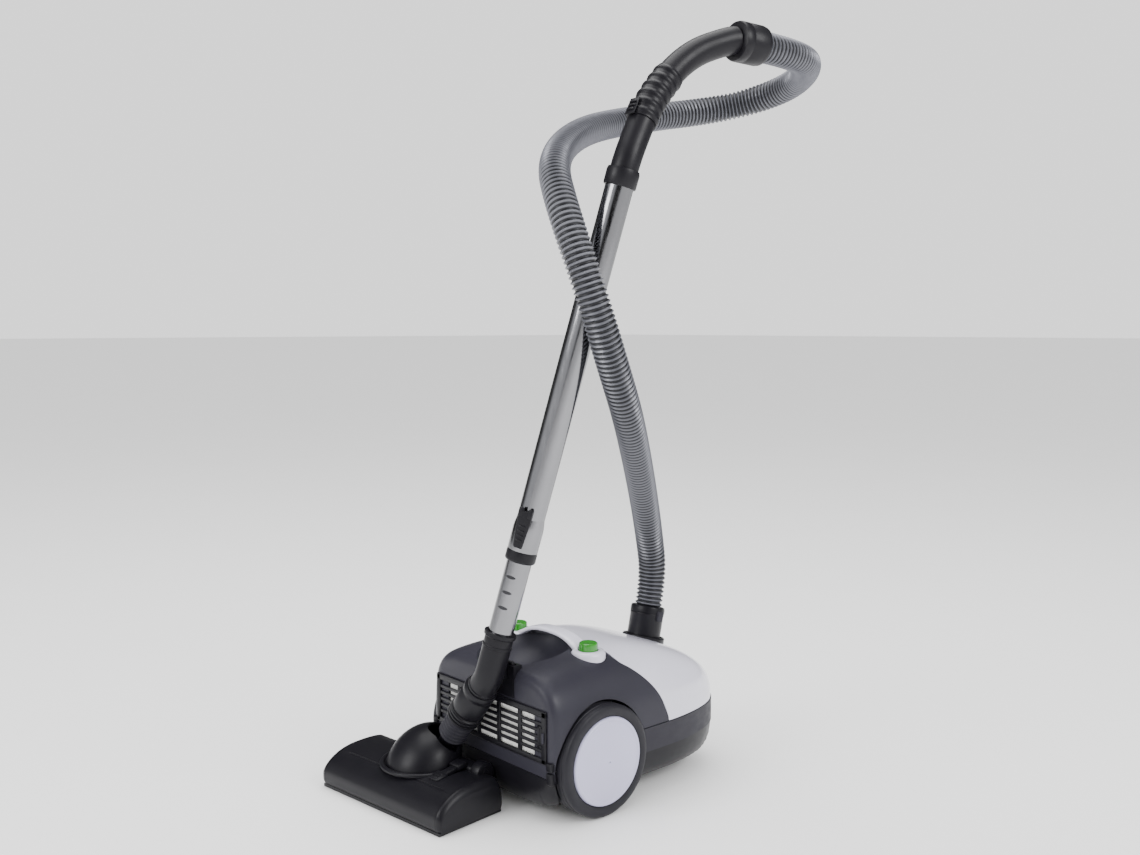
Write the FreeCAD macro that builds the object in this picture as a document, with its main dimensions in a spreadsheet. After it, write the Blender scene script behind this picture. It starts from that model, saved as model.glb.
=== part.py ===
import FreeCAD, Part
import math
import os

# Canister vacuum cleaner with its telescopic wand parked upright behind it.
#
# Millimetres, +Z up, +X towards the hose port and the front caster, +Y to the left.
# Shapes are laid out about the floor point under the rear axle. At the end every piece moves
# by the origin cells, so that the origin is the bottom centre of the object without its hose.

V = FreeCAD.Vector
doc = FreeCAD.newDocument("canister_vacuum")
sheet = doc.addObject("Spreadsheet::Sheet", "sizes")

SIZES = [
    ("origin_x", 26.205, "object's middle, ahead of the rear axle"),
    ("origin_y", -4.507, "object's middle, left of the rear axle"),
    ("wall", 2.8, "moulded shell thickness"),
    ("seam", 0.4, "gap between neighbouring shells"),
    ("wheel_radius", 72.0, "rear wheel"),
    ("wheel_inner", 104.0, "inner face of a rear wheel from the middle"),
    ("wheel_outer", 140.0, "outer face of the tyre from the middle"),
    ("disc_radius", 57.0, "wheel disc inside the tyre"),
    ("disc_outer", 144.0, "outer face of the wheel disc"),
    ("axle_radius", 5.0, "rear stub axle"),
    ("running_gap", 0.06, "radial clearance of a shaft in its bore"),
    ("arch_radius", 75.5, "wheel arch"),
    ("arch_inner", 96.0, "inner wall of a wheel arch from the middle"),
    ("band_bottom", 61.0, "bumper band's lower edge"),
    ("band_top", 94.0, "bumper band's upper edge"),
    ("caster_x", 206.0, "caster swivel ahead of the axle"),
    ("caster_radius", 18.0, "caster wheel"),
    ("caster_trail", 10.0, "caster wheel behind its swivel"),
    ("tube_outer", 17.5, "upper tube's radius"),
    ("tube_wall", 1.2, "steel tube wall"),
    ("lower_outer", 16.0, "lower tube's radius"),
    ("neck_outer", 18.5, "neck's radius"),
    ("neck_inner", 14.0, "neck's air way"),
    ("hose_radius", 20.0, "suction hose over its ribs"),
    ("collar_radius", 25.5, "hose collars"),
    ("button_radius", 12.5, "foot buttons"),
    ("pad_radius", 23.0, "carry handle's feet round the buttons"),
    ("nozzle_half", 121.0, "half the floor nozzle's length"),
    ("nozzle_depth", 108.0, "floor nozzle from front to back"),
]
for row, (alias, value, note) in enumerate(SIZES, 1):
    sheet.set(f"A{row}", note)
    sheet.set(f"B{row}", str(value))
    sheet.setAlias(f"B{row}", alias)
doc.recompute()
pieces = []


def size(alias):
    return float(sheet.get(alias))


# ---------------------------------------------------------------- building blocks


def primitive(kind, name, place, **sizes):
    """A Part primitive whose sizes are expressions over the sheet."""
    shape = doc.addObject("Part::" + kind, name)
    for key, rule in sizes.items():
        shape.setExpression(key, str(rule))
    shape.Placement = place
    return shape


def along(start, direction):
    """Placement at start whose Z axis runs along direction."""
    return FreeCAD.Placement(V(*start), FreeCAD.Rotation(V(0, 0, 1), V(*direction)))


def at(x, y, z):
    return FreeCAD.Placement(V(x, y, z), FreeCAD.Rotation())


def cylinder(name, start, direction, radius, height):
    return primitive("Cylinder", name, along(start, direction), Radius=radius, Height=height)


def box(name, low, high, frame=None):
    """Box between two corners, in the given frame if there is one."""
    place = at(*low) if frame is None else frame.multiply(at(*low))
    long, wide, tall = (b - a for a, b in zip(low, high))
    return primitive("Box", name, place, Length=long, Width=wide, Height=tall)


def coded(name, shape):
    """A feature whose shape is worked out here from the sheet's values."""
    feature = doc.addObject("Part::Feature", name)
    feature.Shape = shape
    return feature


def cut(name, base, tool):
    result = doc.addObject("Part::Cut", name)
    result.Base = base
    result.Tool = tool
    return result


def fuse(name, *shapes):
    result = doc.addObject("Part::MultiFuse", name)
    result.Shapes = list(shapes)
    return result


def piece(node, shape):
    """Marks a finished sub-part; its Label names its file."""
    shape.Label = node
    pieces.append(shape)
    return shape


def ring(node, start, direction, outer, inner, height):
    """Tube with square ends."""
    skin = cylinder(node + "_outside", start, direction, outer, height)
    bore = cylinder(node + "_bore", start, direction, inner, height)
    return cut(node + "_ring", skin, bore)


def corner_arc(before, corner, after, share=0.45):
    """Tangent arc at a corner, taking share of the shorter run: start, middle, end, radius."""
    back, ahead = before - corner, after - corner
    reach = share * min(back.Length, ahead.Length)
    half = (math.pi - back.getAngle(ahead)) / 2
    radius = reach / math.tan(half)
    back.normalize()
    ahead.normalize()
    inward = (back + ahead).normalize()
    middle = corner + inward * (radius / math.cos(half) - radius)
    return corner + back * reach, middle, corner + ahead * reach, radius


def route(points, share=0.45):
    """Straight runs joined by tangent arcs through hand-placed points; also the radii."""
    points = [V(*p) for p in points]
    edges, radii, last = [], [], points[0]
    for before, corner, after in zip(points, points[1:], points[2:]):
        start, middle, end, radius = corner_arc(before, corner, after, share)
        edges.append(Part.LineSegment(last, start).toShape())
        edges.append(Part.Arc(start, middle, end).toShape())
        radii.append(radius)
        last = end
    edges.append(Part.LineSegment(last, points[-1]).toShape())
    return Part.Wire(edges), radii


def swept(points, radius, share=0.45):
    """Round bar along a route."""
    path, _ = route(points, share)
    first = V(*points[1]) - V(*points[0])
    section = Part.Wire(Part.makeCircle(radius, V(*points[0]), first))
    return path.makePipeShell([section], True, True)


def outline(points, share=0.3):
    """Closed flat wire with every corner rounded."""
    points = [V(*p) for p in points]
    count = len(points)
    arcs = [corner_arc(points[i - 1], points[i], points[(i + 1) % count], share) for i in range(count)]
    edges = []
    for i, (start, middle, end, _) in enumerate(arcs):
        edges.append(Part.Arc(start, middle, end).toShape())
        edges.append(Part.LineSegment(end, arcs[(i + 1) % count][0]).toShape())
    return Part.Wire(edges)


def prism(wire, direction, inset=0.0):
    """Solid from a closed flat wire, drawn in by inset."""
    if inset:
        wire = wire.makeOffset2D(-inset)
    return Part.Face(wire).extrude(V(*direction))


def check_all():
    doc.recompute()
    for item in doc.Objects:
        bad = {"Invalid", "Error"} & set(item.State)
        if bad:
            raise RuntimeError(f"{item.Name}: {bad}")
    for item in pieces:
        if item.Shape.isNull() or not item.Shape.isValid() or not item.Shape.Solids:
            raise RuntimeError(f"{item.Label} has no valid solid")


# ---------------------------------------------------------------- canister shells

REAR = -79.0
SIDE = 131.0
FRONT = 270.0
TOP = 197.0
FLOOR_GAP = 8.0
LID_REAR = 52.0
BRACKET = (-79.5, -50.0, 150.0), (-66.0, -16.0, 190.0)
HANDLE_X = 33.0
BUTTON_Y = 72.0
CAVITY = 20.0

side_view = [
    (-58, 0, FLOOR_GAP), (REAR, 0, 50), (REAR, 0, 165), (-64, 0, 190), (30, 0, TOP), (120, 0, 190),
    (205, 0, 166), (250, 0, 140), (FRONT, 0, 96), (268, 0, 55), (236, 0, FLOOR_GAP),
]
top_view = [
    (REAR, -124, 0), (-62, -SIDE, 0), (150, -SIDE, 0), (232, -108, 0), (FRONT, -50, 0),
    (FRONT, 50, 0), (232, 108, 0), (150, SIDE, 0), (-62, SIDE, 0), (REAR, 124, 0),
]
end_view = [
    (0, -116, FLOOR_GAP), (0, -SIDE, 42), (0, -SIDE, 112), (0, -112, 166), (0, -66, 192),
    (0, 66, 192), (0, 112, 166), (0, SIDE, 112), (0, SIDE, 42), (0, 116, FLOOR_GAP),
]


def body_block(inset):
    """Canister's outer form, drawn in by inset, with arches, caster well and hand recess."""
    profile = outline(side_view)
    profile.translate(V(0, -200, 0))
    plan = outline(top_view)
    section = outline(end_view)
    section.translate(V(-200, 0, 0))
    block = prism(profile, (0, 400, 0), inset)
    block = block.common(prism(plan, (0, 0, 300), inset))
    block = block.common(prism(section, (600, 0, 0), inset))
    hollows = []
    for sign in (-1, 1):
        start = V(0, sign * (size("arch_inner") - inset), size("wheel_radius"))
        hollows.append(Part.makeCylinder(size("arch_radius") + inset, 60, start, V(0, sign, 0)))
    well = V(size("caster_x"), 0, 0)
    hollows.append(Part.makeCylinder(37 + inset, 48 + inset, well))
    recess = Part.makeBox(83, 102, 60, V(-40, -51, 158))
    recess = recess.makeFillet(14, [recess.Edges[i] for i in (0, 2, 4, 6)])
    hollows.append(recess if not inset else Part.makeBox(89, 108, 60, V(-43, -54, 155)))
    low, high = BRACKET
    grow = size("seam") + inset
    notch = [high[0] - low[0] + 20 + grow, high[1] - low[1] + 2 * grow, 60]
    hollows.append(Part.makeBox(*notch, V(low[0] - 20, low[1] - grow, low[2] - grow)))
    for hollow in hollows:
        block = block.cut(hollow)
    return block


def lid_region(shift):
    """Everything in front of the lid's curved rear edge and above the band."""
    rear = [
        (LID_REAR, 0, 260), (LID_REAR, 0, 182), (62, 0, 162), (92, 0, 140), (118, 0, 114),
        (134, 0, size("band_top")), (134, 0, 60), (320, 0, 60), (320, 0, 260),
    ]
    wire = Part.makePolygon([V(x + shift, -200, z) for x, _, z in rear + rear[:1]])
    return Part.Face(wire).extrude(V(0, 400, 0))


def slab(low, high, rear=-200.0, front=400.0):
    return Part.makeBox(front - rear, 400, high - low, V(rear, -200, low))


def button_places():
    return [("power_button", -BUTTON_Y), ("rewind_button", BUTTON_Y)]


def make_shells():
    wall, seam = size("wall"), size("seam")
    shell = body_block(0).cut(body_block(wall))
    band_low, band_high = size("band_bottom"), size("band_top")
    lower = shell.common(slab(0, band_low))
    band = shell.common(slab(band_low + seam, band_high, CAVITY))
    cover = shell.common(slab(band_low + seam, 250, -200, CAVITY - seam))
    cover = cover.fuse(shell.common(slab(band_high + seam, 250, CAVITY - seam, 400)))
    lid = cover.common(lid_region(seam))
    cover = cover.cut(lid_region(0))
    for _, y in button_places():
        foot = Part.makeCylinder(size("pad_radius") + seam, 60, V(HANDLE_X - 4, y, 165))
        seat = Part.makeBox(28.8, 60, 40, V(HANDLE_X - 14.4, y - 30, 184))
        cover = cover.cut(foot).cut(seat)
        lid = lid.cut(foot)
    port = Part.makeCylinder(31, 60, V(*PORT) - V(*PORT_AXIS) * 30, V(*PORT_AXIS))
    lid = lid.cut(port)
    latch = Part.makeBox(20, 40.8, 18, V(258, -20.4, 95))
    lid = lid.cut(latch)
    grille = Part.makeBox(12, 2 * FILTER_HALF, 58, V(REAR - 4, -FILTER_HALF, 85))
    cover = cover.cut(grille)
    outlet = Part.makeCylinder(11, 20, V(-62, 0, 40), V(-1, 0, 0))
    lower = lower.cut(outlet)
    piece("lower_housing", coded("lower_shell", lower))
    piece("bumper_band", coded("band_shell", band))
    piece("upper_housing", coded("cover_shell", largest(cover)))
    piece("lid", coded("lid_shell", largest(lid)))


def largest(shape):
    """The main solid of a shell, without the slivers that a cut leaves."""
    return max(shape.Solids, key=lambda solid: solid.Volume)


# ---------------------------------------------------------------- canister fittings

PORT = (206.0, 0.0, 166.0)
PORT_AXIS = (0.22, 0.0, 0.9755)
FILTER_HALF = 90.0


def on_port(distance):
    return tuple(p + a * distance for p, a in zip(PORT, PORT_AXIS))


def make_port():
    piece("port_ring", ring("port", on_port(-22), PORT_AXIS, 30.8, 22.4, 26))
    head = cylinder("connector_head", on_port(4.3), PORT_AXIS, "sizes.collar_radius - 0.5", 43)
    spigot = cylinder("connector_spigot", on_port(-20), PORT_AXIS, 22, 25)
    bore = cylinder("connector_bore", on_port(-21), PORT_AXIS, 16, 70)
    tilt = FreeCAD.Placement(V(*PORT), FreeCAD.Rotation(V(0, 0, 1), V(*PORT_AXIS)))
    pocket = box("connector_pocket", (-6, -30, 27), (6, -20.5, 43), tilt)
    solid = cut("connector_pocketed", fuse("connector_solid", head, spigot), pocket)
    piece("hose_connector", cut("connector", solid, bore))
    piece("connector_tab", box("tab", (-5.5, -28, 27.5), (5.5, -23, 42.5), tilt))


def make_carry_handle():
    rise = [(HANDLE_X, y, z) for y, z in ((-70, 186), (-40, 202), (0, 205.5), (40, 202), (70, 186))]
    path, _ = route(rise)
    corners = [(-14, 0, -4), (14, 0, -4), (14, 0, 4), (-14, 0, 4)]
    section = outline(corners, 0.35)
    tilt = FreeCAD.Rotation(V(0, 1, 0), V(*rise[1]) - V(*rise[0]))
    section.Placement = FreeCAD.Placement(V(*rise[0]), tilt)
    strap = coded("handle_strap", path.makePipeShell([section], True, True))
    feet, wells = [], []
    for name, y in button_places():
        feet.append(cylinder(name + "_foot", (HANDLE_X - 4, y, 172), (0, 0, 1), "sizes.pad_radius", 24))
        well = cylinder(name + "_well", (HANDLE_X - 4, y, 177), (0, 0, 1), "sizes.button_radius + 0.4", 40)
        wells.append(well)
    whole = fuse("handle_solid", strap, *feet)
    piece("carry_handle", cut("handle", whole, fuse("handle_wells", *wells)))


def make_buttons():
    for name, y in button_places():
        place = (HANDLE_X - 4, y, 182)
        piece(name, cylinder(name + "_cap", place, (0, 0, 1), "sizes.button_radius", 25))


def make_grille():
    half, low, high = 114.0, 80.0, 147.0
    plate = box("grille_plate", (REAR - 3, -half, low), (REAR - 0.3, half, high))
    slots = []
    columns, rows = 5, 6
    pitch_y, pitch_z = 42.0, 9.4
    for column in range(columns):
        for line in range(rows):
            y = (column - (columns - 1) / 2) * pitch_y
            z = low + 10 + line * pitch_z
            slots.append(box(f"slot_{column}_{line}", (REAR - 6, y - 17, z - 3), (REAR + 3, y + 17, z + 3)))
    window = box("grille_window", (REAR - 6, -112, 104), (REAR + 3, -105.5, 124))
    piece("exhaust_grille", cut("grille", plate, fuse("grille_slots", window, *slots)))
    piece("exhaust_filter", box("filter", (REAR + 0.3, -88, 86), (REAR + 12, 88, 142)))
    piece("grille_latch", box("latch_tab", (REAR - 6, -111.7, 107), (REAR - 1, -108.8, 121)))


def make_bracket():
    low, high = BRACKET
    block = box("bracket_block", low, high)
    head = box("bracket_slot", (-77.6, -44.5, 172), (-69.4, -21.5, 200))
    throat = box("bracket_throat", (-85, -38.5, 172), (-75, -27.5, 200))
    piece("park_bracket", cut("bracket", block, fuse("bracket_gap", head, throat)))


def make_inner_parts():
    piece("motor_body", cylinder("motor", (-38, 0, 104), (1, 0, 0), 44, 74))
    piece("fan_impeller", cylinder("fan", (37, 0, 104), (1, 0, 0), 42, 12))
    piece("cord_reel", cylinder("reel", (-4, 0, 20), (0, 0, 1), 54, 34))
    bag = box("bag_block", (72, -78, 60), (224, 78, 128))
    soft = doc.addObject("Part::Fillet", "bag_rounded")
    doc.recompute()
    soft.Base = bag
    soft.Edges = [(i + 1, 16.0, 16.0) for i in range(12)]
    piece("dust_bag", soft)
    piece("bag_plate", box("plate", (60, -46, 70), (64, 46, 126)))
    latch = box("latch_block", (258.5, -20, 95.4), (270, 20, 109.4))
    piece("lid_latch", latch)
    piece("cord_outlet", ring("outlet", (-64, 0, 40), (-1, 0, 0), 10.8, 4, 14))


def make_wheel(side, sign):
    inner, outer = sign * size("wheel_inner"), sign * size("wheel_outer")
    depth = "sizes.wheel_outer - sizes.wheel_inner"
    hub, out = (0, inner, size("wheel_radius")), (0, sign, 0)
    tyre = ring("tyre_" + side, hub, out, "sizes.wheel_radius", "sizes.disc_radius", depth)
    piece("tyre_" + side, tyre)
    disc = cylinder("disc_" + side, hub, out, "sizes.disc_radius", "sizes.disc_outer - sizes.wheel_inner")
    bore = cylinder("hub_" + side, hub, out, "sizes.axle_radius + sizes.running_gap", 34)
    piece("wheel_disc_" + side, cut("wheel_" + side, disc, bore))
    start = (0, sign * size("arch_inner"), size("wheel_radius"))
    piece("wheel_axle_" + side, cylinder("axle_" + side, start, out, "sizes.axle_radius", 40))


def make_caster():
    x, trail, radius = size("caster_x"), size("caster_trail"), size("caster_radius")
    hub = (x - trail, -14, radius)
    wheel = cylinder("caster_tread", (x - trail, -8, radius), (0, 1, 0), "sizes.caster_radius", 16)
    bore = cylinder("caster_bore", hub, (0, 1, 0), "3 + sizes.running_gap", 40)
    piece("caster_wheel", cut("caster", wheel, bore))
    piece("caster_axle", cylinder("caster_pin", hub, (0, 1, 0), 3, 28))
    plate = cylinder("fork_plate", (x, 0, 38.5), (0, 0, 1), 20, 4.5)
    post = cylinder("fork_post", (x, 0, 42), (0, 0, 1), 6, 5.4)
    hub_x = x - trail
    cheeks = []
    for n, y in enumerate((-13, 10)):
        cheeks.append(box(f"fork_cheek_{n}", (hub_x - 6, y, 12), (hub_x + 6, y + 3, 40)))
    holes = cylinder("fork_holes", (x - trail, -20, radius), (0, 1, 0), 3, 40)
    piece("caster_fork", cut("fork", fuse("fork_solid", plate, post, *cheeks), holes))


# ---------------------------------------------------------------- wand

BEND = (-105.0, -32.0, 179.0)
WAND_AXIS = (0.1776, -0.187, 0.9662)
PIVOT = (-109.0, 72.0, 50.0)
LEG = V(*BEND) - V(*PIVOT)
LEG_AXIS = tuple(LEG.normalize())
NECK_LEG = 22.0
NECK_TOP = 60.0
BUSH_AT = 168.0
TUBE_TOP = 629.0


def on_wand(distance):
    return tuple(p + a * distance for p, a in zip(BEND, WAND_AXIS))


def on_leg(distance):
    return tuple(p + a * distance for p, a in zip(PIVOT, LEG_AXIS))


LEG_LENGTH = (V(*BEND) - V(*PIVOT)).Length


def make_neck():
    bottom = on_leg(LEG_LENGTH - NECK_LEG)
    line = [on_wand(NECK_TOP), BEND, bottom]
    bent = coded("neck_skin", swept(line, size("neck_outer")))
    rim = cylinder("neck_rim", on_wand(NECK_TOP - 4), WAND_AXIS, "sizes.neck_outer + 2.2", 4)
    stem = box("hook_stem", (-95, -37, 172.4), (-76.5, -29, 194))
    head = box("hook_head", (-76.5, -43, 172.4), (-71, -23, 194))
    spigot = cylinder("neck_spigot", on_leg(LEG_LENGTH - NECK_LEG - 18), LEG_AXIS, 16.5, 20)
    solid = fuse("neck_solid", bent, rim, stem, head, spigot)
    inner_line = [on_wand(NECK_TOP + 2), on_wand(0), on_leg(LEG_LENGTH - NECK_LEG - 19)]
    airway = coded("neck_airway", swept(inner_line, size("neck_inner")))
    socket = cylinder("neck_socket", on_wand(30), WAND_AXIS, "sizes.lower_outer", 40)
    piece("neck_elbow", cut("neck", solid, fuse("neck_hollow", airway, socket)))


def make_swivel():
    top = LEG_LENGTH - NECK_LEG - 0.3
    skin = cylinder("swivel_skin", on_leg(100), LEG_AXIS, 22, top - 100)
    bore = cylinder("swivel_bore", on_leg(99), LEG_AXIS, "16.5 + sizes.running_gap", 60)
    piece("swivel_collar", cut("swivel", skin, bore))
    rings = [cylinder(f"neck_ring_{n}", on_leg(84.3 + 5.2 * n), LEG_AXIS, 23.4, 3.4) for n in range(3)]
    core = cylinder("ring_core", on_leg(84.3), LEG_AXIS, 21.5, 15.7)
    hole = cylinder("ring_hole", on_leg(84), LEG_AXIS, 15, 17)
    piece("neck_rings", cut("rings", fuse("ring_solid", core, *rings), hole))
    piece("neck_bellows", ring("bellows", on_leg(46), LEG_AXIS, 22, 17, 38))


def make_tubes():
    wall = "sizes.tube_outer - sizes.tube_wall"
    length = TUBE_TOP - BUSH_AT
    piece("upper_tube", ring("upper", on_wand(BUSH_AT), WAND_AXIS, "sizes.tube_outer", wall, length))
    wall = "sizes.lower_outer - sizes.tube_wall"
    piece("lower_tube", ring("lower", on_wand(30), WAND_AXIS, "sizes.lower_outer", wall, 440))
    piece("tube_bush", ring("bush", on_wand(BUSH_AT - 14), WAND_AXIS, 19.6, "sizes.lower_outer + 0.1", 14))
    frame = along(on_wand(BUSH_AT + 30), WAND_AXIS)
    outward = FreeCAD.Placement(V(0, 0, 0), FreeCAD.Rotation(V(0, 0, 1), 196))
    face = frame.multiply(outward)
    block = box("slider_block", (12, -9, -20), (24, 9, 22), face)
    clear = cylinder("slider_clear", on_wand(BUSH_AT), WAND_AXIS, "sizes.tube_outer + 0.3", 80)
    piece("tube_slider", cut("slider", block, clear))


HANDLE = [
    on_wand(TUBE_TOP), (30, -153, 848), (60, -151, 900), (118, -156, 958), (176, -178, 982), (228, -186, 980),
]
HAND_END = V(*HANDLE[-1]) - V(*HANDLE[-2])
HAND_AXIS = tuple(HAND_END.normalize())


def on_hand(distance):
    """Point on the handle's last run, counted back from its end."""
    return tuple(p - a * distance for p, a in zip(HANDLE[-1], HAND_AXIS))


def make_handle():
    line = [on_wand(TUBE_TOP + 4), *HANDLE[1:-1], on_hand(46)]
    tail = [*line[:-1], on_hand(20)]
    skin = coded("grip_skin", swept(line, 17.5))
    spigot = cylinder("grip_spigot", on_hand(48), HAND_AXIS, 15.5, 28)
    cuff = cylinder("grip_cuff", on_wand(TUBE_TOP + 0.2), WAND_AXIS, 20.5, 22)
    bore = "sizes.tube_outer - sizes.tube_wall"
    plug = cylinder("grip_plug", on_wand(TUBE_TOP - 26), WAND_AXIS, bore, 30)
    airway = coded("grip_airway", swept([on_wand(TUBE_TOP - 27), *tail[1:]], 13.0))
    solid = fuse("grip_solid", skin, spigot, cuff, plug)
    piece("handle_grip", cut("grip", solid, airway))
    sleeve = swept(line, 20.5).cut(swept(line, 17.7))
    sleeve = sleeve.common(Part.makeBox(200, 200, SLEEVE[1] - SLEEVE[0], V(-50, -250, SLEEVE[0])))
    piece("grip_sleeve", coded("sleeve", sleeve))
    collar = "15.5 + sizes.running_gap"
    piece("hose_collar", ring("collar", on_hand(45.7), HAND_AXIS, "sizes.collar_radius", collar, 45.7))
    run = V(*HANDLE[2]) - V(*HANDLE[1])
    upward = V(-run.z, 0, run.x)
    face = FreeCAD.Placement(V(*HANDLE[1]) + run * 0.3, FreeCAD.Rotation(upward, V(0, 0, 0), run, "ZXY"))
    piece("suction_slider", box("regulator", (21.2, -8, 0), (24.6, 8, 24), face))


SLEEVE = (864.0, 928.0)


# ---------------------------------------------------------------- suction hose

HOSE = [
    on_port(47.3), on_port(95), (209, -8, 318), (165, -40, 379), (101, -88, 447), (38, -133, 512),
    (-6, -153, 571), (-36, -160, 627), (-52, -153, 678), (-59, -137, 725), (-55, -112, 770),
    (-33, -73, 813), (22, -28, 851), (100, 12, 884), (185, 38, 907), (268, 40, 925), (340, 22, 938),
    (392, -18, 950), (408, -90, 965), (375, -152, 977), on_hand(-75), HANDLE[-1],
]
SPLITS = (5, 12)


def middle(a, b):
    return tuple((p + q) / 2 for p, q in zip(a, b))


def make_hose():
    """Three stretches of one hose, meeting in the middle of straight runs."""
    first = middle(HOSE[SPLITS[0]], HOSE[SPLITS[0] + 1])
    second = middle(HOSE[SPLITS[1]], HOSE[SPLITS[1] + 1])
    stretches = [
        ("hose_foot", [*HOSE[: SPLITS[0] + 1], first]),
        ("hose_middle", [first, *HOSE[SPLITS[0] + 1 : SPLITS[1] + 1], second]),
        ("hose_upper", [second, *HOSE[SPLITS[1] + 1 :]]),
    ]
    for node, points in stretches:
        path, radii = route(points)
        tube = coded(node + "_tube", swept(points, size("hose_radius")))
        piece(node, tube)
        expected = math.pi * size("hose_radius") ** 2 * path.Length
        print(node, "length", round(path.Length), "radii", [round(r) for r in radii])
        print(node, "volume over section times length", round(tube.Shape.Volume / expected, 4))


# ---------------------------------------------------------------- floor nozzle

NOZZLE = FreeCAD.Placement(V(-206.5, 71.5, 0), FreeCAD.Rotation(V(0, 0, 1), 5.45))
PIN_X, PIN_Y, PIN_Z = NOZZLE.inverse().multVec(V(*PIVOT))
EAR = 27.0


def nozzle_profile(low):
    back = size("nozzle_depth")
    front = [(1.5, 0, low), (0, 0, 22), (12, 0, 36), (44, 0, 47), (76, 0, 50)]
    return front + [(back - 3, 0, 42), (back, 0, 12), (back - 4, 0, low)]


def nozzle_block(low, half, middle_y=0.0):
    wire = outline(nozzle_profile(low), 0.3)
    wire.translate(V(0, middle_y - half, 0))
    return prism(wire, (0, 2 * half, 0))


def make_nozzle():
    half = size("nozzle_half")
    cap = 3.0
    cover = nozzle_block(4.3, half - cap - 0.2)
    cover = cover.cut(Part.makeBox(68, 2 * half - 18, 25, V(10, -half + 9, 4)))
    cover = cover.cut(Part.makeBox(60, 2 * EAR, 60, V(PIN_X - 26, PIN_Y - EAR, 8)))
    cover = cover.cut(Part.makeBox(52, 17, 12, V(38, -74.5, 40)))
    for sign in (-1, 1):
        ear = Part.makeCylinder(13, 6, V(PIN_X, PIN_Y + sign * EAR, PIN_Z), V(0, sign, 0))
        post = Part.makeBox(20, 6, 22, V(PIN_X - 12, PIN_Y + sign * (EAR + 3) - 3, 28))
        cover = cover.fuse(ear).fuse(post)
    cover = cover.cut(Part.makeCylinder(4, 100, V(PIN_X, PIN_Y - 50, PIN_Z), V(0, 1, 0)))
    body = coded("nozzle_cover", cover.removeSplitter())
    place_nozzle("nozzle_body", body)
    for side, sign in (("right", -1), ("left", 1)):
        end = nozzle_block(4.3, cap / 2, sign * (half - cap / 2))
        place_nozzle("nozzle_cap_" + side, coded("end_cap_" + side, end))
    make_sole(half)
    make_dome()
    make_pedal()


def place_nozzle(node, shape):
    shape.Placement = NOZZLE.multiply(shape.Placement)
    piece(node, shape)


def make_sole(half):
    plate = Part.makeBox(size("nozzle_depth") - 4, 2 * half - 6, 4, V(2, -half + 3, 0))
    plate = plate.cut(Part.makeBox(28, 200, 10, V(32, -100, -2)))
    for start in (14.0, 66.0):
        plate = plate.cut(Part.makeBox(9, 2 * half - 30, 10, V(start, -half + 15, -2)))
    place_nozzle("nozzle_sole", coded("sole_plate", plate))
    for node, start in (("brush_front", 14.5), ("brush_rear", 66.5)):
        bar = box(node + "_bar", (start, -half + 15.5, 0.8), (start + 8, half - 15.5, 12))
        place_nozzle(node, bar)


def make_dome():
    """Hood over the pivot, open at the back and where the neck comes out."""
    centre = V(72, PIN_Y + 2, 40)
    hood = ellipsoid(centre, 42, 44, 40).cut(ellipsoid(centre, 39, 41, 37))
    hood = hood.common(Part.makeBox(200, 200, 60, V(-50, -100, 50.6)))
    neck = FreeCAD.Rotation(NOZZLE.Rotation.inverted()).multVec(V(*LEG_AXIS))
    way = Part.makeCylinder(29, 120, V(PIN_X, PIN_Y, PIN_Z) - neck * 10, neck)
    hood = hood.cut(way).cut(Part.makeBox(60, 200, 80, V(PIN_X - 18, -100, 30)))
    place_nozzle("nozzle_dome", coded("dome_shell", largest(hood)))


def ellipsoid(centre, long, wide, tall):
    ball = Part.makeSphere(1)
    matrix = FreeCAD.Matrix()
    matrix.scale(long, wide, tall)
    ball = ball.transformGeometry(matrix)
    ball.translate(centre)
    return ball


def make_pedal():
    """Rocker that lifts and lowers the brushes, on a pin across its pocket."""
    bar = box("pedal_bar", (40, -70, 43.5), (88, -62, 48))
    front = box("pedal_front", (40, -74, 46), (58, -58, 51.5))
    rear = box("pedal_rear", (72, -74, 46), (88, -58, 52.5))
    bore = cylinder("pedal_bore", (64, -80, 45.5), (0, 1, 0), "1.5 + sizes.running_gap", 30)
    place_nozzle("nozzle_pedal", cut("pedal", fuse("pedal_solid", bar, front, rear), bore))
    place_nozzle("pedal_pin", cylinder("rocker_pin", (64, -74.5, 45.5), (0, 1, 0), 1.5, 17))


def make_yoke():
    across = NOZZLE.Rotation.multVec(V(0, 1, 0))
    hub_start = V(*PIVOT) - across * (EAR - 0.6)
    hub = cylinder("yoke_hub", tuple(hub_start), tuple(across), 17, 2 * (EAR - 0.6))
    stub = cylinder("yoke_stub", PIVOT, LEG_AXIS, 12, 60)
    sleeve = cylinder("yoke_sleeve", on_leg(47), LEG_AXIS, 15, 53)
    bore = cylinder("yoke_bore", tuple(hub_start), tuple(across), "4 + sizes.running_gap", 60)
    airway = cylinder("yoke_airway", on_leg(20), LEG_AXIS, 9, 100)
    piece("nozzle_yoke", cut("yoke", fuse("yoke_solid", hub, stub, sleeve), fuse("yoke_holes", bore, airway)))
    pin = cylinder("pin", (PIN_X, PIN_Y - EAR - 6, PIN_Z), (0, 1, 0), 4, 2 * EAR + 12)
    place_nozzle("pivot_pin", pin)


# ---------------------------------------------------------------- assembly


def make_all():
    make_shells()
    make_port()
    make_carry_handle()
    make_buttons()
    make_grille()
    make_bracket()
    make_inner_parts()
    for side, sign in (("right", -1), ("left", 1)):
        make_wheel(side, sign)
    make_caster()
    make_neck()
    make_swivel()
    make_tubes()
    make_handle()
    make_hose()
    make_nozzle()
    make_yoke()


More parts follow.
